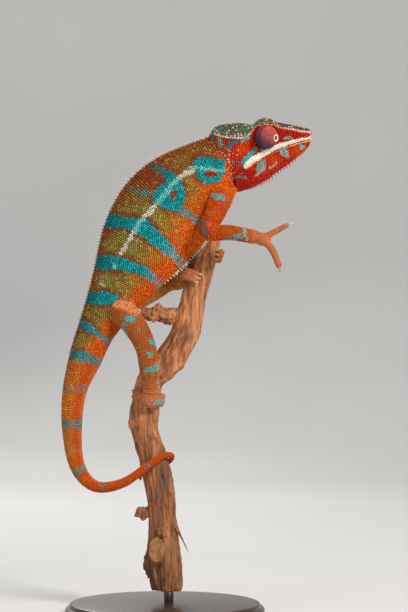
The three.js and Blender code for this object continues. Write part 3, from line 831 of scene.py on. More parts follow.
ORANGE, RED_ORANGE, HEAD_RED = ink(248, 100, 4), ink(232, 56, 4), ink(222, 26, 2)
RUST, DEEP_RUST, OLIVE, LIME = ink(158, 68, 14), ink(122, 30, 6), ink(124, 124, 44), ink(174, 180, 86)
GOLD, DEEP_ORANGE, DEEP_RED = ink(206, 146, 44), ink(190, 44, 4), ink(150, 10, 2)
TURQUOISE, BRIGHT_TURQUOISE, PALE_TURQUOISE = ink(0, 138, 146), ink(24, 198, 198), ink(120, 210, 194)
DEEP_TURQUOISE = ink(0, 72, 88)
CREAM, WHITE = ink(226, 216, 194), ink(255, 250, 230)
CASQUE, CASQUE_GREEN, BEAD = ink(124, 116, 88), ink(72, 130, 100), ink(222, 188, 176)
GREY_BLUE, BROWN, FLESH = ink(98, 178, 176), ink(122, 92, 78), ink(224, 138, 88)
TAIL_ORANGE, TAIL_PAINTED_HIGHLIGHT, LIMB_ORANGE = ink(228, 92, 10), ink(236, 150, 90), ink(204, 92, 26)

# %% Strokes on the body: x, z, half-width in millimetres
BARS = [  # strength, stroke
    (1, [(23.8, 314.9, 4.2), (30.8, 315.2, 4.5), (38.4, 313.5, 3.5)]),
    (1, [(22.4, 310.7, 2.1), (24.5, 305.9, 2.4), (30.1, 303.1, 2.5), (35.6, 303.8, 2.4),
         (39.8, 307.9, 2.2)]),
    (0.9, [(23.8, 310, 2.8), (27.3, 308.6, 2.1)]),
    (0.72, [(-11.5, 315.5, 1.6), (-4.6, 311, 2.4), (1.6, 307.6, 2.8)]),
    (0.65, [(-25.2, 297.1, 1.3), (-17.1, 295, 1.7), (-6.7, 293, 2)]),
    (1, [(0.9, 307.2, 2.4), (5.8, 304.4, 3.8), (10, 298.9, 3.1), (11.3, 291.9, 3.1), (9.3, 285.7, 3.5)]),
    (1, [(3.7, 300.3, 4.2), (-2.5, 293.3, 4.2), (-4.6, 289.2, 3.8), (0.9, 286.4, 3.5),
         (7.2, 283.6, 3.1)]),
    (1, [(4.5, 299, 2.6), (1.5, 291, 3)]),
    (0.75, [(12, 281.6, 2.8), (17.6, 278.1, 2.2), (23.8, 273.3, 2.1)]),
    (1, [(-40.7, 275.3, 5.6), (-27.6, 273.6, 4.2), (-15.7, 271.1, 5.6), (-6.7, 262.8, 4.9),
         (3.7, 254.1, 3.8)]),
    (1, [(3.7, 254.1, 3.8), (7.9, 249.6, 3.1)]),
    (0.5, [(7.8, 249.7, 3.1), (13.4, 244.2, 3.5)]),
    (1, [(-49.1, 246.2, 5.2), (-36.6, 245.8, 5.2), (-26.2, 243.7, 4.2), (-16.5, 240.6, 3.5),
         (-9.5, 236.1, 3.1)]),
    (0.5, [(-9.6, 236.1, 3.1), (-2.6, 229.5, 2.8)]),
    (1, [(-54, 221.2, 4.5), (-42.2, 221.2, 4.5), (-33.2, 220.1, 2.8)]),
    (0.45, [(-33.2, 219.8, 3.5), (-36, 213.5, 3.1)]),
    (0.95, [(-60.4, 203.8, 3.1), (-53.1, 200.3, 3), (-46.8, 196.1, 2.1), (-39.5, 190.9, 1.5)]),
    (0.95, [(-66.7, 182.2, 3.5), (-57.7, 181.1, 3.8), (-50.7, 178, 2.7), (-44.4, 175.9, 2)]),
    (0.35, [(-72.4, 158.5, 2.4), (-54.9, 157.8, 2.4)]),
    (0.75, [(-73.1, 133.3, 3.1), (-57.1, 132.6, 3.1)]),
    (0.3, [(-71.8, 116.5, 1.4), (-57.1, 115.1, 1.4)]),
    (0.75, [(-65.5, 96.3, 2.2), (-55.7, 103.3, 2.2)]),
    (0.5, [(-43.1, 94.3, 2.1), (-43.1, 85.3, 2.1)]),
    (0.5, [(-15.8, 107.9, 1.7), (-10.9, 103.7, 1.7)]),
]
FLANK_STRIPE = [  # colour, stroke
    (PALE_TURQUOISE, [(17.6, 312.1, 1.1), (27.3, 311.4, 1.3), (41.9, 309.3, 0.8)]),
    (CREAM, [(20.4, 310, 1.4), (15.5, 308.6, 1.9), (9.9, 304.5, 1.7)]),
    (PALE_TURQUOISE, [(10, 304.4, 1.4), (3.7, 298.2, 2), (-4.9, 287, 1.7)]),
    (CREAM, [(-7.4, 284.4, 1.5), (-11, 280.6, 2.1), (-15.7, 276, 1.6)]),
    (PALE_TURQUOISE, [(-15.7, 276, 2), (-21.3, 266.9, 1.8)]),
    (CREAM, [(-21.9, 266, 1.2), (-26.2, 259.3, 1.6), (-30.3, 251.7, 1.4)]),
    (PALE_TURQUOISE, [(-34.5, 244.8, 1.4), (-34.5, 243.4, 1.4)]),
    (CREAM, [(-44.3, 231.6, 1.1), (-42.9, 230.2, 1.1)]),
    (ink(156, 40, 22), [(28.7, 307.2, 1.1), (32.2, 306.9, 1.5), (36.3, 306.9, 0.9)]),
    (ink(156, 40, 22), [(4.4, 293.8, 0.8), (7.9, 294.7, 1)]),
]

# %% Strokes on the head, in its own frame, and on the limbs
HEAD_MARKS = [  # colour, stroke
    (BRIGHT_TURQUOISE, [(-9.8, 8.6, 1.0), (-4.9, 10.8, 1.0)]),
    (TURQUOISE, [(-18.9, 4.2, 1.1), (-15.4, 7.9, 1.4), (-11.9, 9.4, 1.3)]),
    (BRIGHT_TURQUOISE, [(0, 2.8, 1.1), (-3.5, -0.9, 1.3), (-8.4, -5.3, 1.4)]),
    (TURQUOISE, [(-15.4, -5.3, 0.8), (-9.1, -8.2, 1.0)]),
    (TURQUOISE, [(-30.8, 12.6, 1.2), (-30.1, 9.8, 1.2)]),
    (GREY_BLUE, [(-25.2, 9.8, 1.3), (-24.5, 6.2, 1.5)]),
    (ink(150, 190, 182), [(31.5, 5.2, 1.3), (33.2, 2.6, 1.6)]),
    (ink(150, 196, 186), [(17.9, 2.6, 1.6), (20.0, 0.6, 2.8), (22.2, -2.4, 1.4)]),
    (ink(140, 186, 178), [(5.4, -5.0, 1.5), (4.0, -8.6, 3.0), (2.6, -12.3, 2.0)]),
    (PALE_TURQUOISE, [(21, 10.1, 1.1), (24.5, 10.5, 0.8)]),
    (GREY_BLUE, [(-12.6, -17, 1.1), (-7, -17, 1.1)]),
    (GREY_BLUE, [(4.9, 3.5, 1.0), (11.9, 6.4, 0.8)]),
    (BEAD, [(0, -15.5, 0.8), (6.3, -11.1, 0.8)]),
    (BEAD, [(10.5, -10.7, 0.6), (14.7, -7.1, 0.6)]),
]
LIMB_MARKS = {
    "arm_right": [
        (GREY_BLUE, [(34.2, 291.8, 2.1), (40.5, 290.4, 2.1)]),
        (GREY_BLUE, [(42.5, 261.1, 1.4), (52.1, 263.2, 1.8)]),
        (BROWN, [(26.6, 273.7, 2.4), (27.6, 265.4, 2.8)]),
        (ink(150, 190, 180), [(54.2, 268.7, 1.6), (56.9, 261.1, 1.1)]),
    ],
    "leg_right": [
        (BRIGHT_TURQUOISE, [(-26, 207.3, 2.1), (-21.9, 205.9, 1.7)]),
        (BRIGHT_TURQUOISE, [(-28.2, 202.4, 1.5), (-26.8, 196.2, 1.5)]),
        (BRIGHT_TURQUOISE, [(-8.6, 191.4, 1.7), (-6.6, 190, 1.5)]),
        (BRIGHT_TURQUOISE, [(-10.7, 182.4, 1.4), (-8.6, 183.1, 1.1)]),
        (BRIGHT_TURQUOISE, [(-12.8, 170.6, 1.4), (-9.4, 172, 1.8), (-5.2, 173.4, 2.4)]),
        (BRIGHT_TURQUOISE, [(-3.8, 162.3, 1.4), (-3.8, 159.5, 1.1)]),
        (ink(130, 176, 176), [(-5.3, 149, 1.6), (-1.1, 148.3, 2.6)]),
        # a pale pink patch on the thigh: partly its own colour, partly a painted highlight
        (ink(250, 158, 108), [(-33, 217, 2.8), (-25.4, 215.6, 3.5), (-19.9, 211.4, 2.8)]),
    ],
}
CROWN_TURN = math.pi / 3
# painted shade: the skin round the foot of every scale is darkened by this share, standing in for the
# shade in its groove
GROOVE_PAINTED_SHADE = 0.42  # how dark the groove round each scale is

# %% Mixing by the dice of each scale
def over(base, colour, share):
    return base + (colour - base) * np.clip(share, 0, 1)[:, None]


def between(one, other, share):
    """A row of colours from one ink towards another, by the share of each."""
    return over(np.tile(one, (len(share), 1)), other, share)


def chosen(share, dice):
    """A soft share for the skin, which has no dice, and nearly yes or no for a scale."""
    return np.clip(share, 0, 1) if dice is None else np.clip((share - dice) * 8 + 0.5, 0, 1)


def step(value, low, high):
    """From 0 at low to 1 at high, with soft ends."""
    t = np.clip((value - low) / (high - low), 0, 1)
    return t * t * (3 - 2 * t)


def near(points, x, z, reach):
    """One at a spot of the side view, fading out over the reach."""
    return bell(np.hypot(points[:, 0] - x, points[:, 2] - z), reach)


# %% [markdown]
# The paint goes on in layers, one region at a time. Each function takes the colours so far, of the
# tips of the scales and of the skin round their feet, and lays its own over them. A scale has dice,
# so an edge between two colours follows whole scales, as it does on the animal.

# %% What the paint asks about each point
class Spots:
    """Points on the skin, with their part, the way along it and round it, and their dice."""

    def __init__(self, points, part, along, turn, dice, luck):
        self.points, self.part, self.along, self.turn, self.dice = points, part, along, turn, dice
        self.luck = np.full(len(points), 0.5) if luck is None else luck
        self.height = np.cos(turn)
        self.face = in_head(points)
        self.ahead, self.above = self.face[:, 0], self.face[:, 2]
        self.body, self.head, self.limb = part == 0, part == 1, part >= 2
        self.toes = part == PARTS.index("toes")
        ripple = 0.3 * np.sin(points[:, 2] * 0.93) + 0.2 * np.sin(points[:, 2] * 2.1)
        self.x, self.z = points[:, 0] + ripple, points[:, 2] + 0.35 * np.sin(points[:, 0] * 0.71 + 1)
        self.bars = [(strength, stroke(self.x, self.z, bar)) for strength, bar in BARS]


# %% Trunk and tail
def trunk_paint(s):
    """Rust and olive above, orange below and on the tail, for the tip and the foot of each scale."""
    points, along, height, luck, dice = s.points, s.along, s.height, s.luck, s.dice
    nearest_bar = np.max([inside for strength, inside in s.bars if strength > 0.7], axis=0)
    calm = step(-nearest_bar, 0.6, 4.5) * (1 - 0.85 * step(height, 0.62, 0.97))
    calm = calm * (0.75 + 0.25 * np.sin(points[:, 0] * 0.35) * np.sin(points[:, 2] * 0.29))
    calm = calm * (1 - 0.45 * step(height, 0.1, 0.6) * (1 - step(along, 2.7, 3.6)))
    calm = calm * (1 - 0.9 * near(points, -10.5, 304, 9))

    border = np.interp(along, [0, 1.5, 3.5, 6, 7.5, 9], [0.15, 0.1, -0.25, -0.35, 0.2, 1.3])
    upper = step(height - border + (0 if dice is None else (dice - 0.5) * 0.5), -0.45, 0.35)
    tip = between(RUST, DEEP_RUST, np.sin(points[:, 0] * 0.5 + points[:, 2] * 0.9) * 0.5)
    tip = over(tip, OLIVE, calm * 1.1)
    tip = over(tip, LIME, calm * (0.15 + 0.65 * luck))
    tip = over(tip, LIME, (luck > 0.86) * 0.35)
    belly = between(ORANGE, GOLD, luck * 0.4)
    belly = over(belly, RED_ORANGE, (luck < 0.18) * 0.6)
    belly = over(belly, GOLD, step(upper, 0.05, 0.6) * 0.7)
    golden = step(height, -0.5, 0.1) * (1 - step(along, 10.5, 12.5))
    tail = between(TAIL_ORANGE, ink(218, 158, 60), golden * (0.3 + 0.5 * luck))
    tail = over(tail, RUST, (luck < 0.14) * 0.4)
    # a painted highlight, pale orange, along the underside of the tail
    tail = over(tail, TAIL_PAINTED_HIGHLIGHT, step(-height, 0.55, 0.85) * 0.6)
    belly = over(belly, tail, step(along, 7.0, 9.0))
    tip = over(belly, tip, upper * s.body)
    foot = between(DEEP_ORANGE, ink(138, 46, 10), upper)
    foot = over(foot, ink(196, 58, 8), step(along, 7.0, 9.0))
    return tip, foot


# %% Arms, legs and toes
def limb_paint(s, tip, foot):
    points, part, along, luck, limb = s.points, s.part, s.along, s.luck, s.limb
    arm = (part == PARTS.index("arm_right")) | (part == PARTS.index("arm_left"))
    legs = between(LIMB_ORANGE, ink(214, 148, 78), 0.1 + 0.5 * luck)
    legs = over(legs, OLIVE, (luck > 0.82) * 0.6)
    legs = over(legs, ink(96, 170, 160), (luck > 0.4) * (luck < 0.45) * 0.9)
    arms = between(ink(234, 76, 6), GOLD, (luck > 0.72) * 0.6)
    arms = over(arms, ink(206, 112, 30), step(along, 2.3, 3.0) * 0.6)
    legs = over(legs, over(arms, RUST, (luck < 0.15) * 0.6), arm)
    legs = over(legs, FLESH, step(along, 3.3, 4.0) * 0.7)
    # the far left leg is painted paler and golden: partly its own colour, partly painted light that
    # lifts it out of the body's shadow
    left_leg = part == PARTS.index("leg_left")
    legs = over(legs, between(ink(240, 172, 84), ink(220, 142, 54), luck), left_leg * 0.9)
    tip = over(tip, legs, limb)
    sole = between(FLESH, ink(206, 104, 50), luck * 0.8)
    sole = over(sole, ink(226, 176, 146), (luck > 0.82) * 0.5)
    sole = over(sole, ink(176, 150, 140), near(points, -7, 148.5, 5) * 0.6)
    # the toes of the gripping left hand are painted golden: painted warm light over their flesh colour,
    # as on the far leg
    gripping_hand = (points[:, 2] > 243) & (points[:, 0] < 45)
    sole = over(sole, ink(216, 132, 40), gripping_hand * 0.85)
    tip = over(tip, sole, s.toes)
    foot = over(foot, between(ink(168, 56, 12), sole, s.toes), limb)
    # its scale feet are painted lighter too, as part of the same painted light
    foot = over(foot, ink(210, 112, 36), left_leg)
    foot = over(foot, tip, limb * step(along, 3.1, 3.9))
    return tip, foot


# %% Neck and cheeks
def head_paint(s, tip, foot):
    ahead, above, along, height, luck = s.ahead, s.above, s.along, s.height, s.luck
    body, head, face = s.body, s.head, s.face
    neck = between(RED_ORANGE, RUST, luck > 0.5)
    neck = over(neck, OLIVE, step(above, -4, 9) * (luck > 0.6) * 0.8)
    speckled = step(-np.hypot(ahead + 16, (above + 8) * 0.8), -13, -7)
    neck = over(neck, BEAD, speckled * (luck > 0.8) * 0.7)
    cheek = between(HEAD_RED, RED_ORANGE, luck > 0.6)
    orange = near(face, 13, -5.5, 5.5)  # brighter patches of the cheek
    orange = np.maximum(orange, near(face, 28, 1.5, 4.5))
    orange = np.maximum(orange, 0.8 * near(face, -10, 2, 5))
    cheek = over(cheek, ink(246, 84, 4), orange)
    cheek = over(cheek, ORANGE, (luck > 0.9) * 0.6)
    behind = step(ahead, -20, -10)
    tip = over(tip, over(neck, cheek, behind), head)
    tip = over(tip, BEAD, head * speckled * (luck > 0.88) * 0.6)
    tip = over(tip, neck, body * step(-along, -1.3, -0.3) * step(-height, -0.95, -0.6))
    foot = over(foot, between(ink(130, 30, 8), between(DEEP_RED, DEEP_ORANGE, orange), behind), head)
    return tip, foot


# %% Turquoise bars, the flank's pale stripe and the marks of the limbs
def bar_paint(s, tip, foot):
    points, part, along, height = s.points, s.part, s.along, s.height
    body, head, ahead, luck, dice = s.body, s.head, s.ahead, s.luck, s.dice
    chest = body | (head & (ahead < -17) & (points[:, 2] < 318))
    for strength, inside in s.bars:
        share = chosen(inside / 1.6 + 0.5, dice)
        if strength < 1:
            broken = np.where(luck < strength, 0.9, 0.4 * strength)
            share = share * (strength if dice is None else broken)
        share = share * chest
        tone = between(TURQUOISE, BRIGHT_TURQUOISE, (luck * 3.7) % 1.0)
        tone = over(tone, ink(112, 160, 146), (along > 8) * (0.35 if strength > 0.8 else 0.8))
        tone = over(tone, ink(6, 104, 96), step(height, 0.35, 0.9) * 0.7)
        pale = step(-height, 0.3, 0.8) * ((luck * 5.3) % 1.0)
        tone = over(tone, ink(186, 196, 190), pale * (along < 7))
        tip = over(tip, tone, share)
        foot = over(foot, DEEP_TURQUOISE, share * (1 if strength > 0.7 else 0.4))
    for tone, stripe in FLANK_STRIPE:
        share = chosen(stroke(s.x, s.z, stripe) / 0.9 + 0.5, dice) * (body | head)
        tip = over(tip, tone * (0.85 + 0.3 * luck[:, None]), share)
        foot = over(foot, tone, share * 0.7)
    for name, marks in LIMB_MARKS.items():
        here = (part == PARTS.index(name)) | (s.toes & (points[:, 1] < 0))
        for tone, mark in marks:
            share = chosen(stroke(s.x, s.z, mark) / 1.6 + 0.5, dice) * here * (luck > 0.15)
            tip = over(tip, tone * (0.75 + 0.35 * luck[:, None]), share * 0.9)
            foot = over(foot, tone * 1.5, share * 0.7)
    return tip, foot


# %% Top of the helmet, marks of the face and the lips
def crown_paint(s, tip, foot):
    head, turn, ahead, above, luck, dice = s.head, s.turn, s.ahead, s.above, s.luck, s.dice
    crown = head & (np.abs(turn) < CROWN_TURN) & (ahead > -31)
    near_ridge = step(np.abs(turn), 0.6, 0.95)
    green = (luck > 0.5) * (1 - 0.7 * near_ridge) * (1 - step(ahead, 0, 8))
    cap = between(CASQUE, CASQUE_GREEN, green)
    cap = over(cap, ink(70, 66, 44), ((luck * 7.1) % 1.0 > 0.7) * 0.7)
    cap = over(cap, ink(128, 98, 74), step(ahead, 10, 22) * 0.75)
    cap = over(cap, ink(110, 124, 72), bell(ahead - 9, 6) * 0.75)
    cap = over(cap, BEAD, (luck < 0.08 + 0.5 * near_ridge * (1 - 0.7 * step(ahead, 0, 16))) * 0.8)
    tip = over(tip, cap, crown)
    foot = over(foot, between(ink(92, 84, 62), ink(120, 60, 40), step(ahead, 8, 22)), crown)
    for tone, mark in HEAD_MARKS:
        share = chosen(stroke(ahead, above, mark) / 1.2 + 0.5, dice) * head * ~crown
        share = share * (0.75 + 0.25 * (luck > 0.2))
        tip = over(tip, tone * (0.8 + 0.4 * luck[:, None]), share)
        foot = over(foot, tone * 0.7, share * 0.8)
    lip = chosen(stroke(ahead, above, LIP_STRIPE) / 0.7 + 0.5, dice) * head
    # the feet are darkened as painted shade in the grooves, and the white lip stripe goes over them
    return over(tip, WHITE, lip), over(foot * GROOVE_PAINTED_SHADE, WHITE * 0.7, lip * 0.85)


# %% The whole coat
def paint(points, part, along, turn, dice=None, luck=None):
    """The colour of each point's tip and of the skin round its foot, in linear values."""
    spots = Spots(points, part, along, turn, dice, luck)
    tip, foot = trunk_paint(spots)
    for lay in (limb_paint, head_paint, bar_paint, crown_paint):
        tip, foot = lay(spots, tip, foot)
    return tip, foot


STORED_AS = {"FLOAT": "value", "FLOAT_VECTOR": "vector", "FLOAT_COLOR": "color"}


def store(mesh, name, kind, values):
    mesh.attributes.new(name, kind, "POINT").data.foreach_set(STORED_AS[kind], np.ravel(values))


def store_colour(mesh, name, colours):
    store(mesh, name, "FLOAT_COLOR", np.column_stack([colours, np.ones(len(colours))]))


tips, feet = paint(skin_points, part, along, turn)
# the skin between the scales takes mostly the foot colour, so it carries the painted shade of the
# grooves
colours = over(feet, tips, np.full(len(feet), 0.15))
# painted shade: a dark line along the sculpted groove of the mouth
colours = over(colours, ink(60, 14, 6), bell(lip, 0.4) * on_head * 0.8)
store_colour(skin_mesh, "coat", colours)
print("painted:", len(colours), "points")

# %% [markdown]
# ## Finishes
# Skin and scales take their colour from the painted attribute. A little noise breaks it up, and a
# scale is darker in the groove round its foot than on its rounded top: partly the skin's own darker
# colour between the scales, partly painted shade in the groove. Reptile skin has a dull, waxy shine,
# so roughness is about one half, with fine bumps that are too small to model.


# %% Small helpers for node materials
def new_material(name, roughness=0.5, coat=0.0, specular=0.5, metallic=0.0):
    material = bpy.data.materials.new(name)
    material.use_nodes = True
    shader = material.node_tree.nodes["Principled BSDF"]
    shader.inputs["Roughness"].default_value = roughness
    shader.inputs["Coat Weight"].default_value = coat
    shader.inputs["Specular IOR Level"].default_value = specular
    shader.inputs["Metallic"].default_value = metallic
    return material, material.node_tree, shader


def node(tree, kind, **values):
    made = tree.nodes.new(kind)
    for name, value in values.items():
        target = made.inputs.get(name.replace("_", " ").title()) if not hasattr(made, name) else None
        if target is not None:
            target.default_value = value
        else:
            setattr(made, name, value)
    return made


# %% Noise, ramps and bumps
def noise(tree, scale, detail=3.0, stretch=(1, 1, 1)):
    where = node(tree, "ShaderNodeTexCoord")
    mapping = node(tree, "ShaderNodeMapping", scale=stretch)
    tree.links.new(where.outputs["Object"], mapping.inputs["Vector"])
    made = node(tree, "ShaderNodeTexNoise", scale=scale, detail=detail)
    tree.links.new(mapping.outputs["Vector"], made.inputs["Vector"])
    return made.outputs["Fac"]


def ramp(tree, source, stops):
    made = node(tree, "ShaderNodeValToRGB")
    elements = made.color_ramp.elements
    while len(elements) < len(stops):
        elements.new(0.5)
    for element, (place, colour) in zip(elements, stops):
        element.position = place
        element.color = (*colour, 1)
    tree.links.new(source, made.inputs["Fac"])
    return made.outputs["Color"]


def multiply(tree, a, b, amount=1.0):
    made = node(tree, "ShaderNodeMix", data_type="RGBA", blend_type="MULTIPLY", factor=amount)
    tree.links.new(a, made.inputs["A"])
    tree.links.new(b, made.inputs["B"])
    return made.outputs["Result"]


def bump(tree, shader, source, strength, distance):
    made = node(tree, "ShaderNodeBump", strength=strength, distance=distance)
    tree.links.new(source, made.inputs["Height"])
    tree.links.new(made.outputs["Normal"], shader.inputs["Normal"])


# %% Finishes from one grain
def grained_finish(name, grain, stops, bumps=None, **gloss):
    """A finish with one noise between its colours and, if wanted, another as fine bumps."""
    material, tree, shader = new_material(name, **gloss)
    tree.links.new(ramp(tree, noise(tree, *grain), stops), shader.inputs["Base Color"])
    if bumps:
        fine, strength, distance = bumps
        bump(tree, shader, noise(tree, *fine), strength, distance)
    return material


# %% Finishes that read the paint
def painted_finish(name, roughness, grain, with_tip):
    """A finish that reads the painted coat, with fine grain and, for scales, a foot darkened by painted
    shade.
    """
    material, tree, shader = new_material(name, roughness, specular=0.12)
    colour = node(tree, "ShaderNodeAttribute", attribute_name="coat").outputs["Color"]
    speck = ramp(tree, noise(tree, grain), [(0.3, (0.78,) * 3), (0.7, (1.12,) * 3)])
    colour = multiply(tree, colour, speck)
    if with_tip:
        # below its top a scale takes the foot colour, which carries the painted shade of its groove
        tip = node(tree, "ShaderNodeAttribute", attribute_name="tip").outputs["Fac"]
        share = ramp(tree, tip, [(0.46, (0.0,) * 3), (0.86, (1.0,) * 3)])
        foot = node(tree, "ShaderNodeAttribute", attribute_name="foot").outputs["Color"]
        mix = node(tree, "ShaderNodeMix", data_type="RGBA")
        tree.links.new(share, mix.inputs["Factor"])
        tree.links.new(foot, mix.inputs["A"])
        tree.links.new(colour, mix.inputs["B"])
        colour = mix.outputs["Result"]
    tree.links.new(colour, shader.inputs["Base Color"])
    bump(tree, shader, noise(tree, grain * 2.2), 0.35, 0.0001)
    return material


skin_finish = painted_finish("skin_finish", 0.6, 900, False)
scale_finish = painted_finish("scale_finish", 0.44, 1500, True)

# %% The skin as a finished piece
def to_metres(mesh):
    mesh.transform(Matrix.Scale(MM, 4))


def thin_out(mesh, keep):
    """Merge faces where the coat hides them, down to the share `keep`."""
    rough = placed("rough", mesh)
    group = rough.vertex_groups.new(name="keep_less")
    group.add([int(i) for i in np.flatnonzero(part == 0)], 1.0, "REPLACE")
    reduce = rough.modifiers.new("reduce", "DECIMATE")
    reduce.ratio = keep
    reduce.vertex_group = "keep_less"
    return applied(rough)


def triangle_count(mesh):
    return sum(len(p.vertices) - 2 for p in mesh.polygons)


MOST_TRIANGLES, TARGET_TRIANGLES = 190000, 186000
triangles = triangle_count(skin_mesh)
if triangles > MOST_TRIANGLES:
    skin_mesh = thin_out(skin_mesh, TARGET_TRIANGLES / triangles)
skin_tree_mesh = bmesh.new()
skin_tree_mesh.from_mesh(skin_mesh)
skin_tree = BVHTree.FromBMesh(skin_tree_mesh)
skin_tree_mesh.free()
to_metres(skin_mesh)
skin = placed("skin", skin_mesh)
print("skin faces:", len(skin_mesh.polygons), "from", triangles)

# %% Unwrap the skin
bpy.context.view_layer.objects.active = skin
skin.select_set(True)
bpy.ops.object.mode_set(mode="EDIT")
bpy.ops.mesh.select_all(action="SELECT")
bpy.ops.uv.smart_project(angle_limit=1.2, island_margin=0.001, scale_to_bounds=False)
bpy.ops.object.mode_set(mode="OBJECT")
skin.data.uv_layers[0].name = "OFBake"
skin_uv = read(skin.data.uv_layers[0].data, "uv", 2)
face_start = read(skin.data.polygons, "loop_start", 1, int)
print("skin unwrapped")


def on_skin(points):
    """The nearest places of the skin: where, which way is out, the face's first corner and its UV."""
    where, out, face, _ = zip(*(skin_tree.find_nearest(p) for p in points))
    corner = face_start[list(face)]
    return np.array(where), unit(np.array(out)), corner, skin_uv[corner]


# %% The skin's place in the frame
flesh = ["head", "lower_jaw", "neck", "trunk", "tail_base", "tail_middle", "tail_bend", "tail_curl"]
for side in ("right", "left"):
    flesh += [f"{limb}_{side}" for limb in ("upper_arm", "forearm", "hand", "thigh", "shin", "foot")]


def settle(piece, slot, finish, *nodes, smooth=True):
    """The last touches of a piece: its shading, its finish, its body and the nodes it stands for."""
    if smooth:
        piece.data.shade_smooth()
    piece.data.materials.clear()
    piece.data.materials.append(finish)
    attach(piece, "root")
    if nodes:
        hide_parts(*nodes)


settle(skin, "skin", skin_finish, *flesh)
print("one skin for", len(flesh), "nodes of flesh")

# %% [markdown]
# ## The coat of scales
# A chameleon's scales are granules that sit side by side in rings round the body, not plates that
# overlap. We work out where each granule stands, and let Geometry Nodes copy one small six-sided
# dome to every place and realize the copies into one mesh. Rings come first, and any bare patch
# between the parts is filled afterwards.


# %% Places for the scales
ROW_GAP = 0.87  # rows of a honeycomb lie this much of a place's width apart
WALK_STEPS = 3999


def ring_places(run_length, place, girth, pitch):
    """Rows of places, each row half a step on from the last, with steps of about the pitch."""
    us, turns, sizes = [], [], []
    walked = np.linspace(0, 1, WALK_STEPS + 1)
    width = np.array([pitch(t) for t in walked])
    count = np.concatenate([[0], np.cumsum(run_length / WALK_STEPS / (width[1:] * ROW_GAP))])
    for k in range(1, int(count[-1])):
        t = np.interp(k, count, walked)
        across = max(6, round(girth(t) / pitch(t)))
        across = across if across < 24 else 6 * round(across / 6)  # few changes keep the lattice neat
        spread = (np.arange(across) + 0.5 * (k % 2)) / across * 2 * math.pi - math.pi
        us.append(np.full(across, t))
        turns.append(spread)
        sizes.append(np.full(across, pitch(t)))
    us, turns, sizes = map(np.concatenate, (us, turns, sizes))
    return place(us, turns), sizes


def row_girth(heights, widths):
    return 2 * math.pi * np.sqrt((heights**2 + widths**2) / 2) * 0.97


def even_turn(turns, stretch):
    """Turns spread so that steps along a tall narrow section stay equal."""
    full = np.linspace(-math.pi, math.pi, 721)
    steps = np.hypot(np.diff(np.cos(full)) * stretch, np.diff(np.sin(full)))
    walk = np.concatenate([[0], np.cumsum(steps)])
    return np.interp((turns + math.pi) / (2 * math.pi) * walk[-1], walk, full)


# %% Rows of places along the trunk
FINE = 1.0
HEAD_WALK = 76.0  # the length over the head that the rows of scales cover
spine_walk = spine.walk / spine.walk[-1]
to_u = lambda t: np.interp(t, spine_walk, spine.u)
limb_pitch = lambda t: 1.32 * FINE
body_pitch = lambda t: FINE * float(np.interp(t, [0, 0.35, 0.6, 1], [1.55, 1.62, 1.3, 0.85]))


def body_girth(t):
    row = smooth(spine_rows, to_u(t))[0]
    return row_girth(row[3], row[4])


def body_place(t, turns):
    u = to_u(t)
    rows = smooth(spine_rows, u)
    spread = np.empty_like(turns)
    for value in np.unique(t):
        here = t == value
        row = rows[here][0]
        spread[here] = even_turn(turns[here], row[3] / row[4])
    return flank(u, spread, -COAT)


# %% Rows of places along the limbs and the head
batches = [(*ring_places(float(spine.walk[-1]), body_place, body_girth, body_pitch), 0)]
for name, rows in LIMBS.items():
    run = limbs[name]

    def limb_place(t, turns, run=run, rows=rows):
        u = np.interp(t, run.walk / run.walk[-1], run.u)
        reach = smooth(rows, u)[:, 3] - COAT
        return run.at(u, reach * np.sin(turns), reach * np.cos(turns))

    limb_girth = lambda t, run=run, rows=rows: 2 * math.pi * float(
        smooth(rows, np.interp(t, run.walk / run.walk[-1], run.u))[0, 3]
    )
    batches.append((*ring_places(float(run.walk[-1]), limb_place, limb_girth, limb_pitch), 1))
head_pitch = lambda t: 1.12 * FINE
head_girth = lambda t: float(np.interp(t, [0, 0.2, 0.5, 0.8, 1], [40, 118, 100, 50, 20]))
head_place = lambda t, turns: head_point(t, turns, 1.0, -COAT)
batches.append((*ring_places(HEAD_WALK, head_place, head_girth, head_pitch), 2))
print("places in rings:", sum(len(b[0]) for b in batches))


# %% Keep the places that lie on the skin, and fill the gaps
CELL = 2  # the side of the boxes that near points are looked up in
CLOSEST, CLOSEST_SPARE = 0.66, 0.8  # a place nearer than this share of a scale is left out
AROUND = list(itertools.product((-1, 0, 1), repeat=3))


def spaced(points, sizes, cell, factor):
    """Keep points in order while none already kept is nearer than factor times the size."""
    chosen_ones = []
    for i, ((x, y, z), size) in enumerate(zip(points, sizes)):
        a, b, c = int(x // CELL), int(y // CELL), int(z // CELL)
        reach = (size * factor) ** 2
        near = any(
            (x - q[0]) ** 2 + (y - q[1]) ** 2 + (z - q[2]) ** 2 < reach
            for da, db, dc in AROUND
            for q in cell.get((a + da, b + db, c + dc), ())
        )
        if not near:
            cell.setdefault((a, b, c), []).append((x, y, z))
            chosen_ones.append(i)
    return chosen_ones


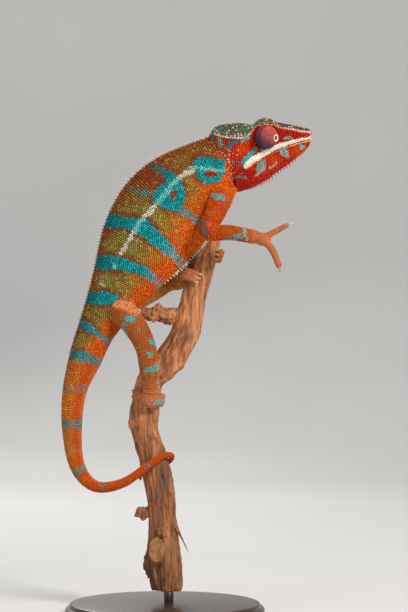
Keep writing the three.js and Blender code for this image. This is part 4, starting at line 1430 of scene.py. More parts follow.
dice = np.random.default_rng(11)
places, sizes, cell = [], [], {}
for points, wide, kind in batches:
    found = [skin_tree.find_nearest(p) for p in points]
    good = np.array([hit[3] < 0.9 for hit in found])
    snapped = np.array([hit[0] for hit in found])[good]
    snapped = snapped + dice.normal(0, 0.05, snapped.shape)
    wide = wide[good]
    if kind == 2:  # the helmet's granules are larger and less even
        _, _, head_turn = belongs(snapped)
        wide = np.where(np.abs(head_turn) < CROWN_TURN, 1.75 * FINE, wide)
    kept = spaced(snapped.tolist(), wide.tolist(), cell, CLOSEST)
    places.append(snapped[kept])
    sizes.append(wide[kept])
print("kept:", sum(map(len, places)))
spare = coordinates(skin.data) / MM
spare_part, spare_u, _ = belongs(spare)
spare_size = np.where(spare_part == PARTS.index("toes"), 0.95, 1.2) * FINE
along_body = np.interp(spare_u, [0, 8, 20], [1.5, 1.25, 0.85]) * FINE
spare_size = np.where(spare_part == 0, along_body, spare_size)
order = dice.permutation(len(spare))
kept = spaced(spare[order].tolist(), spare_size[order].tolist(), cell, CLOSEST_SPARE)
places = np.vstack([*places, spare[order][kept]])
sizes = np.concatenate([*sizes, spare_size[order][kept]])
print("scales:", len(places))

# %% Leave the eyes, nostrils, mouth line and the soles free
face = in_head(places)
mirrored = both_sides(face)
free = np.linalg.norm(mirrored - EYE, axis=1) < EYE_RADIUS - 0.1
free |= np.linalg.norm(mirrored - NOSTRIL, axis=1) < 1.0
part, along, turn = belongs(places)
free |= (part == 1) & (stroke(face[:, 0], face[:, 2], MOUTH) > -0.42)
gap, way = wood_clearance(places)
free |= (gap < 0.45) & (places[:, 2] < WOOD_TOP)
places, sizes, part, along, turn = (a[~free] for a in (places, sizes, part, along, turn))
roots, _, first_corner, root_uv = on_skin(places)
corner_vertex = read(skin.data.loops, "vertex_index", 1, int)
soft = vertex_normals(skin.data)
normals = unit(sum(soft[corner_vertex[first_corner + k]] for k in range(3)))
print("scales on the skin:", len(places))

# %% [markdown]
# ## Copying one scale to every place
# The dome is a cone with its top pushed up to a point, drawn once at a size of one. Each place
# carries a turn, a size, a colour and its spot on the skin's unwrap, and the copies inherit them.


# %% The dome and the nodes that copy it
patterns = []  # single shapes to copy, taken out of the scene at the end


def pattern_from(bm, name, sunk, tall):
    """A shape to copy. Each point knows how high it is and where on the shape it is."""
    made = object_from(bm, name, 1)
    spots = coordinates(made.data)
    store(made.data, "tip", "FLOAT", (spots[:, 2] + sunk) / tall)
    store(made.data, "spot", "FLOAT_VECTOR", spots)
    patterns.append(made)
    return made


def dome(name, corners=6, top=0.62, rise=0.24, sunk=0.14, peak=0.07):
    bm = bmesh.new()
    radii = {"radius1": 0.56, "radius2": 0.56 * top}
    bmesh.ops.create_cone(bm, cap_ends=True, segments=corners, depth=1, **radii)
    for v in bm.verts:
        v.co.z = rise if v.co.z > 0 else -sunk
    lid = [f for f in bm.faces if f.normal.z > 0.9]
    crown = bmesh.ops.poke(bm, faces=lid)["verts"]
    for v in crown:
        v.co.z += peak
    for f in bm.faces:
        f.smooth = True
    return pattern_from(bm, name, sunk, rise + sunk + peak)


# %% How each copy is turned
def turns_from(normals, ahead):
    """Euler turns that point z along the normal and x along the body."""
    z = unit(normals)
    x = unit(ahead - z * np.sum(ahead * z, axis=1, keepdims=True))
    y = np.cross(z, x)
    pitch = -np.arcsin(np.clip(x[:, 2], -1, 1))
    return np.column_stack([np.arctan2(y[:, 2], z[:, 2]), pitch, np.arctan2(x[:, 1], x[:, 0])])


# %% The nodes that copy a shape
def copier(template):
    group = bpy.data.node_groups.new("copy_" + template.name, "GeometryNodeTree")
    group.interface.new_socket("Geometry", in_out="INPUT", socket_type="NodeSocketGeometry")
    group.interface.new_socket("Geometry", in_out="OUTPUT", socket_type="NodeSocketGeometry")
    start, end = group.nodes.new("NodeGroupInput"), group.nodes.new("NodeGroupOutput")
    link = group.links.new

    def attribute(name, kind):
        made = group.nodes.new("GeometryNodeInputNamedAttribute")
        made.data_type = kind
        made.inputs["Name"].default_value = name
        return made.outputs["Attribute"]

    shape = group.nodes.new("GeometryNodeObjectInfo")
    shape.inputs["Object"].default_value = template
    copies = group.nodes.new("GeometryNodeInstanceOnPoints")
    turn_node = group.nodes.new("FunctionNodeEulerToRotation")
    link(attribute("turn", "FLOAT_VECTOR"), turn_node.inputs["Euler"])
    link(start.outputs[0], copies.inputs["Points"])
    link(shape.outputs["Geometry"], copies.inputs["Instance"])
    link(turn_node.outputs["Rotation"], copies.inputs["Rotation"])
    link(attribute("size", "FLOAT_VECTOR"), copies.inputs["Scale"])
    real = group.nodes.new("GeometryNodeRealizeInstances")
    link(copies.outputs["Instances"], real.inputs["Geometry"])
    patch = group.nodes.new("ShaderNodeVectorMath")
    patch.operation = "MULTIPLY_ADD"
    patch.inputs[1].default_value = (0.003, 0.003, 0)
    link(attribute("spot", "FLOAT_VECTOR"), patch.inputs[0])
    link(attribute("root", "FLOAT_VECTOR"), patch.inputs[2])
    chart = group.nodes.new("GeometryNodeStoreNamedAttribute")
    chart.data_type = "FLOAT2"
    chart.domain = "CORNER"
    chart.inputs["Name"].default_value = "OFBake"
    link(real.outputs["Geometry"], chart.inputs["Geometry"])
    link(patch.outputs["Vector"], chart.inputs["Value"])
    link(chart.outputs["Geometry"], end.inputs[0])
    return group


granule = dome("granule")
granule_nodes = copier(granule)
print("one scale:", triangle_count(granule.data), "triangles")


# %% A coat piece
def coat_piece(name, roots, turns, sizes, colours, feet, uv, nodes, finish):
    """One mesh of copies, with everything that it needs applied."""
    points = bmesh.new()
    for p in roots * MM:
        points.verts.new(p)
    mesh = bpy.data.meshes.new(name + "_roots")
    points.to_mesh(mesh)
    points.free()
    flat_uv = np.column_stack([uv, np.zeros(len(uv))])
    for key, values in (("turn", turns), ("size", sizes * MM), ("root", flat_uv)):
        store(mesh, key, "FLOAT_VECTOR", values)
    store_colour(mesh, "coat", colours)
    store_colour(mesh, "foot", feet)
    rough = placed(name + "_roots", mesh)
    rough.modifiers.new("copy", "NODES").node_group = nodes
    made = placed(name, applied(rough))
    for spare_name in ("turn", "size", "root", "spot"):
        if spare_name in made.data.attributes:
            made.data.attributes.remove(made.data.attributes[spare_name])
    settle(made, "skin", finish)
    print(name, len(roots), "copies,", triangle_count(made.data), "triangles")


# %% Colour, turn and size of every scale
luck, luck_two = dice.random(len(places)), dice.random(len(places))
scale_tips, scale_feet = paint(places, part, along, turn, luck, luck_two)
scale_tips = scale_tips * dice.normal(1, 0.1, (len(places), 1)).clip(0.75, 1.3)
ahead = np.tile(np.array([1.0, 0, 0.0]), (len(places), 1))
on_body = part == 0
ahead[on_body] = spine.pick(spine.ahead, along[on_body])
for name, run in limbs.items():
    here = part == PARTS.index(name)
    ahead[here] = run.pick(run.ahead, along[here])
turns = turns_from(normals, ahead)
bulk = dice.normal(1, 0.08, len(places)).clip(0.8, 1.25)
bulk = np.where((luck_two > 0.93) & (part < 2), bulk * 1.16, bulk)
rise = np.where(part == PARTS.index("toes"), 0.5, 0.92)
scale_sizes = np.column_stack([sizes * bulk, sizes * bulk, sizes * bulk * rise])
print("mean width of a scale:", round(float(scale_sizes[:, 0].mean()), 2), "mm")

# %% Coat pieces by region
side_right = places[:, 1] < 0
limb = part >= 2
regions = {
    "coat_flank_right": on_body & (along <= 7.5) & side_right,
    "coat_flank_left": on_body & (along <= 7.5) & ~side_right,
    "coat_tail": on_body & (along > 7.5),
    "coat_head_right": (part == 1) & side_right,
    "coat_head_left": (part == 1) & ~side_right,
    "coat_limbs_right": limb & side_right,
    "coat_limbs_left": limb & ~side_right,
}
for name, here in regions.items():
    coat_piece(
        name, roots[here], turns[here], scale_sizes[here], scale_tips[here], scale_feet[here],
        root_uv[here], granule_nodes, scale_finish,
    )

# %% [markdown]
# ## Eyes
# A chameleon's eye is a ball covered by one thick lid. The lid moves with the eye and leaves only a
# small round hole over the pupil. We build the lid as a ball that swells into a short cone towards
# the gaze, cover it with granules in rings round the hole, and set a wet, dark eye in the hole.

# %% Lid and eyeball
lid_finish = painted_finish("lid_finish", 0.5, 1400, True)
lid_skin_finish = painted_finish("lid_skin_finish", 0.6, 900, False)
ring_finish = painted_finish("lid_ring_finish", 0.4, 1600, False)
GAZE = {"right": (0.79, -0.60, 0.05), "left": (0.79, 0.60, 0.05)}
HOLE, RING = 1.8, 2.6


def lid_profile(angle):
    """Distance of the lid's surface from the eye's middle, `angle` away from the gaze."""
    return EYE_RADIUS - 0.42 + 0.55 * bell(angle, 0.5) - 0.25 * bell(angle - 0.42, 0.12)


def eye_axes(side):
    gaze = unit(np.array(GAZE[side]))
    gaze = head_way(gaze)
    across = unit(np.cross((0, 0, 1), gaze))
    return gaze, across, np.cross(gaze, across)


def lid_colour(directions, gaze, second):
    """Dusty red above and in front, shading to purple grey below and behind."""
    low = np.clip(0.45 - directions[:, 2] * 0.75 - directions[:, 0] * 0.35, 0, 1)
    colour = between(ink(236, 98, 76), ink(104, 72, 96), low)
    colour = over(colour, ink(134, 110, 118), (second > 0.78) * 0.7)
    tilt = np.arccos(np.clip(directions @ gaze, -1, 1))
    round_gaze = np.arctan2(directions[:, 2], directions @ np.cross((0, 0, 1.0), gaze))
    streak = np.sin(round_gaze * 13 + 2 * np.sin(round_gaze * 3)) * bell(tilt - 0.6, 0.35)
    colour = over(colour, ink(92, 74, 88), np.maximum(streak, 0) * 0.7)
    colour = over(colour, ink(214, 92, 62), bell(tilt - 0.42, 0.12) * 0.7)
    return over(colour, ink(70, 44, 60), step(tilt, 1.25, 1.6) * 0.6)


# %% Lids
LID_INSET = 0.28  # the lid's skin lies this far under the tops of its granules
HOLE_TILT = 0.21  # where the lid starts, away from the gaze, in radians


def add_lid(side, middle, gaze, across, upward):
    def ball_place(t, angle, is_open):
        tilt = HOLE_TILT + t * (math.pi - HOLE_TILT)
        reach = np.where(t < 1e-4, EYE_RADIUS - 2.2, lid_profile(tilt) - LID_INSET)
        ring = (across * np.cos(angle)[:, None] + upward * np.sin(angle)[:, None]) * is_open[:, None]
        return middle + gaze * (np.cos(tilt) * reach)[:, None] + ring * (np.sin(tilt) * reach)[:, None]

    bm = bmesh.new()
    form(bm, ball_place, 48, 64)
    bmesh.ops.recalc_face_normals(bm, faces=bm.faces)
    lid = object_from(bm, "lid_" + side, 1)
    spots = coordinates(lid.data)
    # painted shade: the lid's skin between its granules is darkened to seven tenths
    lit = lid_colour(unit(spots - middle), gaze, np.full(len(spots), 0.4)) * 0.7
    store_colour(lid.data, "coat", lit)
    to_metres(lid.data)
    settle(lid, "skin", lid_skin_finish, "eye_" + side)


# %% Granules in rings round the hole
def add_lid_granules(side, middle, gaze, across, upward):
    tilts, rounds = [], []
    for k, tilt in enumerate(np.arange(RING / EYE_RADIUS + 0.05, 2.15, 0.098 * FINE)):
        count = max(12, round(2 * math.pi * math.sin(tilt) * EYE_RADIUS / (0.86 * FINE)))
        tilts.append(np.full(count, tilt))
        rounds.append((np.arange(count) + 0.5 * (k % 2)) / count * 2 * math.pi)
    tilts, rounds = np.concatenate(tilts), np.concatenate(rounds)
    ring = across * np.cos(rounds)[:, None] + upward * np.sin(rounds)[:, None]
    out = gaze * np.cos(tilts)[:, None] + ring * np.sin(tilts)[:, None]
    luck = dice.random((len(out), 2))
    lid_uv = np.column_stack([0.5 + tilts / 7 * np.cos(rounds), 0.5 + tilts / 7 * np.sin(rounds)])
    seats = middle + out * (lid_profile(tilts) - LID_INSET)[:, None]
    wide = 0.84 * FINE * dice.normal(1, 0.06, len(out)).clip(0.85, 1.15)
    turns = turns_from(out, np.tile(gaze, (len(out), 1)))
    tips = lid_colour(out, gaze, luck[:, 0]) * (0.8 + 0.45 * luck[:, 1:])
    # painted shade: the feet of the lid's granules are darkened to three tenths
    feet = lid_colour(out, gaze, np.zeros(len(out))) * 0.3
    coat_piece(
        "coat_lid_" + side, seats, turns, np.column_stack([wide * 1.05, wide, wide]),
        tips, feet, lid_uv, granule_nodes, lid_finish,
    )


# %% Pale rim, and the wet eyeball in it
def eye_matrix(middle, gaze, across, upward, depth):
    """The place `depth` under the lid's front, with z along the gaze."""
    turn_about = Matrix(np.column_stack([across, upward, gaze]).tolist()).to_4x4()
    return Matrix.Translation(Vector(middle + gaze * (EYE_RADIUS - depth))) @ turn_about


# radius and height of each ring of the rim, from the hole outwards
RIM = [(HOLE + 0.1, 0.34), (HOLE + 0.42, 0.46), (RING, 0.2), (RING + 0.3, -0.35), (RING - 0.2, -0.9)]


def add_rim(side, middle, gaze, *axes):
    bm = bmesh.new()
    bmesh.ops.create_circle(bm, segments=40, radius=HOLE - 0.1)
    edges = bm.edges[:]
    for radius, height in RIM:
        made = bmesh.ops.extrude_edge_only(bm, edges=edges)["geom"]
        verts = [g for g in made if isinstance(g, bmesh.types.BMVert)]
        edges = [g for g in made if isinstance(g, bmesh.types.BMEdge)]
        for v in verts:
            grown = Vector((v.co.x, v.co.y, 0)).normalized() * radius
            v.co = (grown.x, grown.y, height)
    inner = [e for e in bm.edges if e.is_boundary]
    bmesh.ops.bridge_loops(bm, edges=inner)
    bmesh.ops.transform(bm, matrix=eye_matrix(middle, gaze, *axes, 0.35), verts=bm.verts)
    bmesh.ops.recalc_face_normals(bm, faces=bm.faces)
    lips = object_from(bm, "lid_rim_" + side, 1)
    spots = coordinates(lips.data)
    far = np.linalg.norm(np.cross(spots - middle, gaze), axis=1)
    lit = between(ink(252, 240, 222), ink(206, 84, 60), (far - HOLE - 0.5) / 0.4)
    store_colour(lips.data, "coat", lit)
    to_metres(lips.data)
    settle(lips, "skin", ring_finish)


def add_eyeball(side, middle, *axes):
    bm = bmesh.new()
    ball = eye_matrix(middle, *axes, 2.9)
    bmesh.ops.create_uvsphere(bm, u_segments=40, v_segments=24, radius=2.75, matrix=ball)
    dark = [(0.35, ink(8, 6, 6)), (0.75, ink(40, 20, 12))]
    wet = grained_finish("eye_finish_" + side, (900,), dark, roughness=0.06, coat=1.0, specular=0.6)
    settle(object_from(bm, "eyeball_" + side), "eye", wet)


for side, way in (("right", -1), ("left", 1)):
    middle = in_world([EYE * (1, way, 1)])[0]
    for add in (add_lid, add_lid_granules, add_rim, add_eyeball):
        add(side, middle, *eye_axes(side))
print("eyes done")

# %% [markdown]
# ## Crests, beads and lip plates
# Three rows of soft spines run along the middle: on the back, under the belly and under the throat.
# The ridges of the helmet carry rounded beads, and each lip has a neat row of square plates. Each is
# again one small shape, copied along a line.

# %% Spines along the midlines
def spine_shape(name):
    bm = bmesh.new()
    bmesh.ops.create_cone(bm, cap_ends=True, segments=6, radius1=0.5, radius2=0.12, depth=1)
    for v in bm.verts:
        v.co.z += 0.36
        v.co.x += 0.35 * max(0, v.co.z) ** 2
        v.co.y *= 0.62
    top = [f for f in bm.faces if f.normal.z > 0.9]
    for v in bmesh.ops.poke(bm, faces=top)["verts"]:
        v.co.z += 0.08
    return pattern_from(bm, name, 0.14, 1.1)


spike_nodes = copier(spine_shape("spike"))


def crest(name, points, out, ahead, wide, tall, colours):
    n = len(points)
    size = np.column_stack([wide, wide, tall]) * dice.normal(1, 0.08, (n, 1)).clip(0.8, 1.2)
    # the feet of the spines are painted half as dark, as painted shade round their bases
    coat_piece(
        name, points - out * 0.15, turns_from(out, ahead), size, colours, colours * 0.5,
        on_skin(points)[3], spike_nodes, scale_finish,
    )


def midline(from_u, to_u, pitch, turn_angle):
    start, end = np.interp([from_u, to_u], spine.u, spine.walk)
    u = np.interp(np.arange(start, end, pitch), spine.walk, spine.u)
    points = flank(u, np.full(len(u), turn_angle), -COAT)
    out = spine.pick(spine.up, u) * math.cos(turn_angle)
    return u, points, out, spine.pick(spine.ahead, u)


u, points, out, ahead = midline(0.75, 8.5, 2.0, 0.0)
shade = between(ink(255, 236, 214), ink(230, 160, 116), dice.random(len(u)) * 0.5)
tall = np.interp(u, [0.7, 1.2, 6, 8.5], [2.0, 3.0, 2.6, 1.2])
crest("crest_back", points, out, ahead, np.full(len(u), 1.8), tall, shade)
u, points, out, ahead = midline(2.25, 4.75, 2.6, math.pi)
crest(
    "crest_belly", points - out * 0.35, out, ahead, np.full(len(u), 2.2),
    np.interp(u, [2.2, 2.8, 4.3, 4.75], [2.3, 3.1, 2.9, 1.6]), np.tile(WHITE, (len(u), 1)),
)
t = np.linspace(0.33, 0.93, 24)
throat = head_point(t, np.full(24, math.pi), 1.0, -COAT)
down = head_way((0.35, 0, -0.93))
crest(
    "crest_throat", throat, np.tile(down, (24, 1)), np.tile(-unit(throat[-1] - throat[0]), (24, 1)),
    np.full(24, 1.5), np.interp(t, [0.33, 0.5, 0.8, 0.93], [2.0, 3.3, 3.0, 1.4]),
    between(ink(240, 132, 120), ink(222, 60, 36), dice.random(24)),
)

# %% Beads on the helmet's ridges
bead_nodes = copier(dome("bead", corners=8, top=0.6, rise=0.42, sunk=0.2, peak=0.14))


def along_line(points, pitch):
    walk = np.concatenate([[0], np.cumsum(np.linalg.norm(np.diff(points, axis=0), axis=1))])
    steps = np.arange(0, walk[-1], pitch)
    return np.column_stack([np.interp(steps, walk, points[:, k]) for k in range(3)]), steps / walk[-1]


def beads(name, line, pitch, wide, tall, colours):
    points, share = along_line(line, pitch)
    seats, out, _, _ = on_skin(points)
    ahead = np.gradient(points, axis=0)
    size = np.column_stack([wide(share), wide(share) * 0.92, tall(share)])
    size = size * dice.normal(1, 0.07, (len(points), 1)).clip(0.85, 1.2)
    tone = colours(share)
    # the feet of the beads are painted darker, as painted shade round their bases
    coat_piece(
        name, seats, turns_from(out, ahead), size, tone, tone * 0.4,
        on_skin(seats)[3], bead_nodes, scale_finish,
    )


for side, way in (("right", 1), ("left", -1)):
    t = np.linspace(0.05, 0.99, 200)
    beads(
        "beads_ridge_" + side, head_point(t, np.full(200, way * CROWN_TURN)), 1.7,
        lambda s: np.interp(s, [0, 0.3, 0.45, 0.62, 0.8, 1], [1.8, 1.7, 1.3, 1.3, 2.0, 2.1]),
        lambda s: np.interp(s, [0, 0.3, 0.45, 0.62, 0.8, 1], [1.3, 1.2, 0.8, 0.8, 1.5, 1.5]),
        lambda s: between(ink(240, 206, 196), ink(206, 150, 128), dice.random(len(s)) * 0.8),
    )
t = np.linspace(0.08, 0.42, 100)
beads(
    "beads_crown", head_point(t, np.zeros(100)), 1.4, lambda s: 1.4 + 0 * s, lambda s: 1.1 + 0 * s,
    lambda s: between(ink(200, 172, 150), CASQUE, dice.random(len(s)) * 0.7),
)

# %% Plates along the lips
def lip_line(rows, way, lift):
    rows = np.array(rows, float)
    x = np.interp(np.linspace(0, 1, 160), np.linspace(0, 1, len(rows)), rows[:, 0])
    z = np.interp(np.linspace(0, 1, 160), np.linspace(0, 1, len(rows)), rows[:, 1]) + lift
    return in_world(np.column_stack([x, np.full(160, way * 12.0), z]))


def projected(line, way):
    """Slide a line sideways onto the head."""
    aim = head_way((0, -way, 0))
    hits = [skin_tree.ray_cast(Vector(p), Vector(aim)) for p in line]
    return np.array([hit[0] for hit in hits if hit[0] is not None])


upper_tones = lambda s: np.tile(WHITE, (len(s), 1)) * (0.85 + 0.2 * dice.random((len(s), 1)))
lower_tones = lambda s: between(ink(232, 190, 150), ink(216, 84, 34), (s - 0.12) * 3)
for side, way in (("right", -1), ("left", 1)):
    for row, lift, tones in (("upper", 0.8, upper_tones), ("lower", -0.75, lower_tones)):
        line = projected(lip_line(MOUTH, way, lift), way)
        wide, tall = lambda s: 1.35 + 0.3 * s, lambda s: 0.75 + 0 * s
        beads(f"lip_plates_{row}_{side}", line, 1.4, wide, tall, tones)
print("crests, beads and plates done")

# %% [markdown]
# ## Claws
# Each toe ends in a small hooked claw. A claw is the same tube as a limb, drawn small: it starts
# inside the toe's tip, bends towards the wood and thins to a point. The claws of one foot are one piece.

# %% Claws
claw_finish = grained_finish(
    "claw_finish", (700, 2), [(0.3, ink(150, 116, 84)), (0.7, ink(206, 178, 142))],
    ((2500,), 0.3, 0.00006), roughness=0.32, coat=0.3,
)
CLAW_LENGTH, CLAW_RADIUS, CLAW_HOOK = 2.9, 0.85, 0.55
for name, made in toes.items():
    bm = bmesh.new()
    for rows, bend in made:
        tip, before = np.array(rows[-1][:3]), np.array(rows[-2][:3])
        ahead = unit(tip - before)
        hook = unit(bend - ahead * ahead.dot(bend))
        claw_rows = []
        for f, wide in ((-0.5, 0.85), (0.0, 0.92), (0.35, 0.72), (0.7, 0.42), (1.0, 0.12)):
            out = max(f, 0)
            at = tip + ahead * (CLAW_LENGTH * f * (1 - 0.25 * out)) + hook * (CLAW_HOOK * 2 * out**2)
            claw_rows.append((*at, CLAW_RADIUS * wide))
        add_tube(bm, claw_rows, 20, 16, 0.1, 0.0, (0.1, 0.2, 1))
    bmesh.ops.recalc_face_normals(bm, faces=bm.faces)
    nodes = [f"claw_{name}_{i}" for i in range(1, 6)]
    settle(object_from(bm, "claws_" + name), "claw", claw_finish, *nodes)
print("claws done")

# %% [markdown]
# ## The perch
# The perch is a length of dead branch with its bark worn off. We draw it as a tube with a few broken
# side stubs, fuse them as we fused the skin, and then push the surface in along noise that is
# stretched lengthwise. That gives the furrows and fibres of weathered wood.

# %% Branch and stubs
SAWN_AT = 16.5  # the height of the square cut at the foot
bm = bmesh.new()


def wood_place(t, angle, is_open):
    u = t * branch_run.last
    radius = smooth(BRANCH, u)[:, 3]
    swell = BARK_SWELL * np.sin(5 * angle + 0.9 * u * 2) + BARK_SWELL * np.sin(2 * angle - 3 * u)
    reach = (radius + swell) * is_open * rounded(t, 0.02)
    return branch_run.at(u, reach * np.sin(angle), reach * np.cos(angle))


form(bm, wood_place, 260, 72)
for start, end, thick, thin in STUBS:
    first, last = np.array([*start, thick]), np.array([*end, thin])
    stub_rows = [tuple(first + (last - first) * f) for f in np.linspace(0, 1, 5)]
    add_tube(bm, stub_rows, 50, 32, 0.04, -0.2, (0.1, 0.3, 1))
LUMPS = [  # x, y, z, and the half-size each way
    (-19.8, 1, 133.5, 6.4, 6.4, 7.5), (-3.4, 1, 167, 6, 7, 7), (11.2, 0, 181, 4.4, 5, 5),
    (-9.2, 2, 36, 6, 8, 12), (-5, 3, 212, 5.5, 4.6, 5.6), (-11, 2, 209.5, 5.2, 4.2, 4.6),
    (-15.5, 2, 213.5, 3.4, 3.2, 3.4), (-8, 0, 206.6, 3, 3, 3), (-18.2, -1, 71.5, 3.6, 4, 4.4),
    (-15, -4, 68.5, 3, 3, 3), (19.5, 8, 247, 4.8, 5, 10), (-2, -11.6, 59, 3.4, 2, 4.5),
    (35, 4, 261, 3, 4, 5.6), (32.5, 3, 262, 4.5, 4.5, 5), (29.5, 8, 262.5, 3.4, 3.4, 5.2),
    (-2, -10.2, 35.5, 2.6, 2.2, 3),
]
for x, y, z, wide, deep, tall in LUMPS:
    palm(bm, (x, y, z), (wide, deep, tall), np.eye(3))
for v in bm.verts:
    v.co.z = max(v.co.z, SAWN_AT)
wood_mesh = fused(bm, "perch", 0.75, 2)
print("stubs:", len(STUBS), "lumps:", len(LUMPS))

# %% Furrows and broken ends
from mathutils import noise as field

wood_points = coordinates(wood_mesh)
wood_normals = vertex_normals(wood_mesh)
rows = smooth(BRANCH, np.linspace(0, len(BRANCH) - 1, 500))
carve = np.zeros(len(wood_points))
for i, (x, y, z) in enumerate(wood_points):
    row = rows[np.abs(rows[:, 2] - z).argmin()]
    dx, dy = (x - row[0]) / row[3], (y - row[1]) / row[3]
    fibre = field.noise(Vector((dx * 4.2, dy * 4.2, z * 0.035)))
    furrow = field.noise(Vector((dx * 6.5 + 7, dy * 6.5, z * 0.05)))
    chips = field.noise(Vector((x * 0.16, y * 0.16, z * 0.09 + 30)))
    gnarl = field.noise(Vector((x * 0.45, y * 0.45, z * 0.45)))
    twig = math.hypot(dx, dy) > 1.12 and (200 < z < 222 and x < 6 or z < 80)
    carve[i] = 0.1 - 1.3 * abs(fibre) - 1.3 * max(0, furrow) + 0.9 * chips
    carve[i] += (1.4 if twig else 0.25) * gnarl
wood_points = wood_points + wood_normals * carve[:, None]
move_vertices(wood_mesh, wood_points)
to_metres(wood_mesh)
perch = placed("dead_branch", wood_mesh)
print("branch faces:", len(wood_mesh.polygons))


# %% Weathered wood
def wood_finish():
    material, tree, shader = new_material("weathered_branch", 0.72, specular=0.2)
    broad = ramp(
        tree, noise(tree, 105, 4, (1, 1, 0.13)),
        [(0.28, ink(104, 80, 72)), (0.4, ink(156, 104, 72)),
         (0.52, ink(190, 124, 80)), (0.72, ink(210, 150, 104))],
    )
    grain, hair, spot = [
        noise(tree, size, detail, (1, 1, long))
        for size, detail, long in ((520, 5, 0.06), (1400, 3, 0.035), (170, 2, 0.6))
    ]
    fibre = ramp(tree, grain, [(0.34, (0.5, 0.43, 0.4)), (0.58, (1.08,) * 3)])
    hairs = ramp(tree, hair, [(0.36, (0.6, 0.54, 0.5)), (0.58, (1.06,) * 3)])
    spots = ramp(tree, spot, [(0.34, (0.45, 0.38, 0.36)), (0.46, (1.0,) * 3)])
    colour = multiply(tree, multiply(tree, multiply(tree, broad, fibre, 0.9), hairs, 0.8), spots, 0.7)
    where = node(tree, "ShaderNodeTexCoord")
    split = node(tree, "ShaderNodeSeparateXYZ")
    tree.links.new(where.outputs["Object"], split.inputs["Vector"])
    # darker near the foot
    low = ramp(tree, split.outputs["Z"], [(0.03, (0.56, 0.58, 0.58)), (0.15, (1.0,) * 3)])
    tree.links.new(multiply(tree, colour, low), shader.inputs["Base Color"])
    bump(tree, shader, noise(tree, 520, 5, (1, 1, 0.06)), 0.9, 0.0006)
    return material


settle(perch, "branch_wood", wood_finish(), "perch")
print("branch:", triangle_count(perch.data), "triangles")

# %% [markdown]
# A side branch was once sawn off near the foot of the perch. It left a pale oval face with year rings
# inside a raised lip of healed wood. Two torn splinters hang beside it, a little higher.

# %% Sawn knot and splinter
def knot_finish():
    material, tree, shader = new_material("sawn_knot", 0.66, specular=0.3)
    where = node(tree, "ShaderNodeTexCoord")
    mapping = node(tree, "ShaderNodeMapping", scale=(1.6, 0, 1))
    mapping.inputs["Location"].default_value = (5.9 * MM * 1.6, 0, -46.2 * MM)
    tree.links.new(where.outputs["Object"], mapping.inputs["Vector"])
    rings = node(
        tree, "ShaderNodeTexWave", wave_type="RINGS", rings_direction="SPHERICAL",
        scale=160, distortion=2.5, detail=2,
    )
    tree.links.new(mapping.outputs["Vector"], rings.inputs["Vector"])
    rays = ramp(tree, rings.outputs["Fac"], [(0.1, ink(158, 110, 64)), (0.8, ink(172, 124, 78))])
    stain = ramp(tree, noise(tree, 260, 3), [(0.38, (0.5, 0.42, 0.36)), (0.56, (1.0,) * 3)])
    tree.links.new(multiply(tree, rays, stain, 0.7), shader.inputs["Base Color"])
    bump(tree, shader, noise(tree, 600, 3), 0.5, 0.0003)
    return material


bm = bmesh.new()
bmesh.ops.create_circle(bm, cap_ends=True, segments=40, radius=1.0)
outer = bm.edges[:]
lid = bm.faces[:]
bmesh.ops.inset_region(bm, faces=lid, thickness=0.14, depth=0.06)
bmesh.ops.inset_region(bm, faces=lid, thickness=0.1, depth=-0.06)
bmesh.ops.poke(bm, faces=lid)
made = bmesh.ops.extrude_edge_only(bm, edges=outer)["geom"]
rim_verts = [g for g in made if isinstance(g, bmesh.types.BMVert)]
bmesh.ops.scale(bm, vec=(1.12, 1.12, 1), verts=rim_verts)
bmesh.ops.translate(bm, vec=(0, 0, -0.55), verts=rim_verts)
bmesh.ops.contextual_create(bm, geom=[e for e in bm.edges if e.is_boundary])
bmesh.ops.scale(bm, vec=(5.2, 8.4, 7.0), verts=bm.verts)
for degrees, axis in ((84, "X"), (-12, "Z")):
    bmesh.ops.rotate(bm, matrix=Matrix.Rotation(math.radians(degrees), 3, axis), verts=bm.verts)
bmesh.ops.translate(bm, vec=(-5.9, -12.9, 46.2), verts=bm.verts)
bmesh.ops.recalc_face_normals(bm, faces=bm.faces)
settle(object_from(bm, "sawn_knot"), "branch_wood", knot_finish(), smooth=False)
bm = bmesh.new()
long_one = [(5.6, -1.5, 68, 1.1), (7.4, -2.2, 64, 1), (10.2, -3.2, 57, 0.7), (13.4, -3.8, 50, 0.45)]
long_one += [(16.4, -4, 43.6, 0.2)]
short_one = [(5.6, -4, 64, 1), (8.6, -5.2, 59, 0.7), (11.8, -5.8, 52.5, 0.2)]
for rows in (long_one, short_one):
    add_tube(bm, rows, 40, 10, 0.08, 0.0)
bmesh.ops.recalc_face_normals(bm, faces=bm.faces)
settle(object_from(bm, "splinters"), "branch_wood", perch.data.materials[0])
print("knot and splinters done")

# %% [markdown]
# ## The display stand
# The branch stands on a short steel rod in a turned base of dark wood. Both are turned shapes, so
# each is drawn as half an outline and spun once round, with small rounded steps that catch the light.


# %% Turned pieces
def turned(outline, steps=96):
    bm = bmesh.new()
    verts = [bm.verts.new((r, 0, z)) for r, z in outline]
    for a, b in zip(verts, verts[1:]):
        bm.edges.new((a, b))
    bmesh.ops.spin(
        bm, geom=bm.verts[:] + bm.edges[:], cent=(0, 0, 0), axis=(0, 0, 1),
        angle=2 * math.pi, steps=steps, use_merge=True,
    )
    bmesh.ops.remove_doubles(bm, verts=bm.verts, dist=0.001)
    bmesh.ops.recalc_face_normals(bm, faces=bm.faces)
    return bm


def rounded_corner(r, z, size, quarter, steps=5):
    """Points of a small quarter round whose middle is at r, z."""
    for k in range(steps + 1):
        turn = math.radians(quarter + 90 * k / steps)
        yield r + size * math.cos(turn), z + size * math.sin(turn)


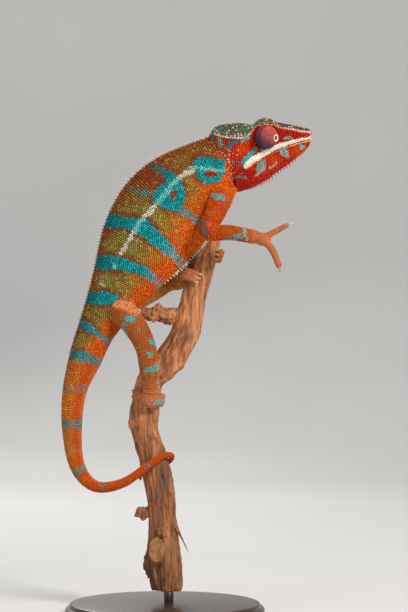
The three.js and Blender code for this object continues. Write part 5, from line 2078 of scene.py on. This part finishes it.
base_outline = [(0, 0), (69.0, 0), (69.8, 0.8)]
base_outline += list(rounded_corner(68.2, 3.4, 1.6, 0))
base_outline += [(67.4, 5.0), (67.0, 5.4)]
base_outline += list(rounded_corner(65.4, 6.4, 1.6, 0))
base_outline += [(0, 8.0)]
base = object_from(turned(base_outline), "turned_base")
rod_outline = [(0, 8.3), (3.4, 8.3), (3.4, 29.6), (0, 29.6)]
rod_bm = turned(rod_outline, 48)
bmesh.ops.translate(rod_bm, vec=(2.6, 0, 0), verts=rod_bm.verts)
rod = object_from(rod_bm, "steel_rod")
print("turned faces:", len(base.data.polygons), "on the base,", len(rod.data.polygons), "on the rod")


# %% Stained wood and brushed steel
def stained_finish():
    material, tree, shader = new_material("stained_base", 0.34, coat=0.25)
    rings = ramp(
        tree, noise(tree, 26, 4, (1.0, 8.0, 1.0)),
        [(0.3, ink(40, 26, 20)), (0.55, ink(66, 42, 30)), (0.75, ink(86, 56, 38))],
    )
    pores = ramp(tree, noise(tree, 240, 4, (0.25, 6.0, 1.0)), [(0.36, (0.5,) * 3), (0.5, (1.0,) * 3)])
    tree.links.new(multiply(tree, rings, pores, 0.8), shader.inputs["Base Color"])
    bump(tree, shader, noise(tree, 240, 4, (0.25, 6.0, 1.0)), 0.25, 0.0003)
    return material


BRUSHED = (900, 3, (1, 1, 0.05))
brushed_steel = grained_finish(
    "brushed_steel", BRUSHED, [(0.3, ink(168, 170, 172)), (0.7, ink(214, 214, 212))],
    (BRUSHED, 0.3, 0.00005), roughness=0.34, metallic=1.0,
)
studio_floor = grained_finish(
    "studio_floor", (3, 2), [(0.3, ink(222, 220, 216)), (0.7, ink(228, 226, 222))],
    roughness=0.85, specular=0.2,
)
settle(base, "stand_wood", stained_finish(), "stand_base")
settle(rod, "stand_steel", brushed_steel, "stand_rod")
floor.data.materials.append(studio_floor)
print("stand done")

# %% [markdown]
# ## Closing
# The last step works out the box of the finished model and the box of the frame, side by side, and
# counts the triangles in all.

# %% Sizes, and the end
for pattern in patterns:
    bpy.data.objects.remove(pattern)
plain = lambda box: [[round(float(v), 6) for v in corner] for corner in box]
{"cad": plain(cad_box), "visual": plain(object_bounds())}
meshes = [piece.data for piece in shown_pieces() if piece.type == "MESH"]
print("triangles in all:", sum(map(triangle_count, meshes)))
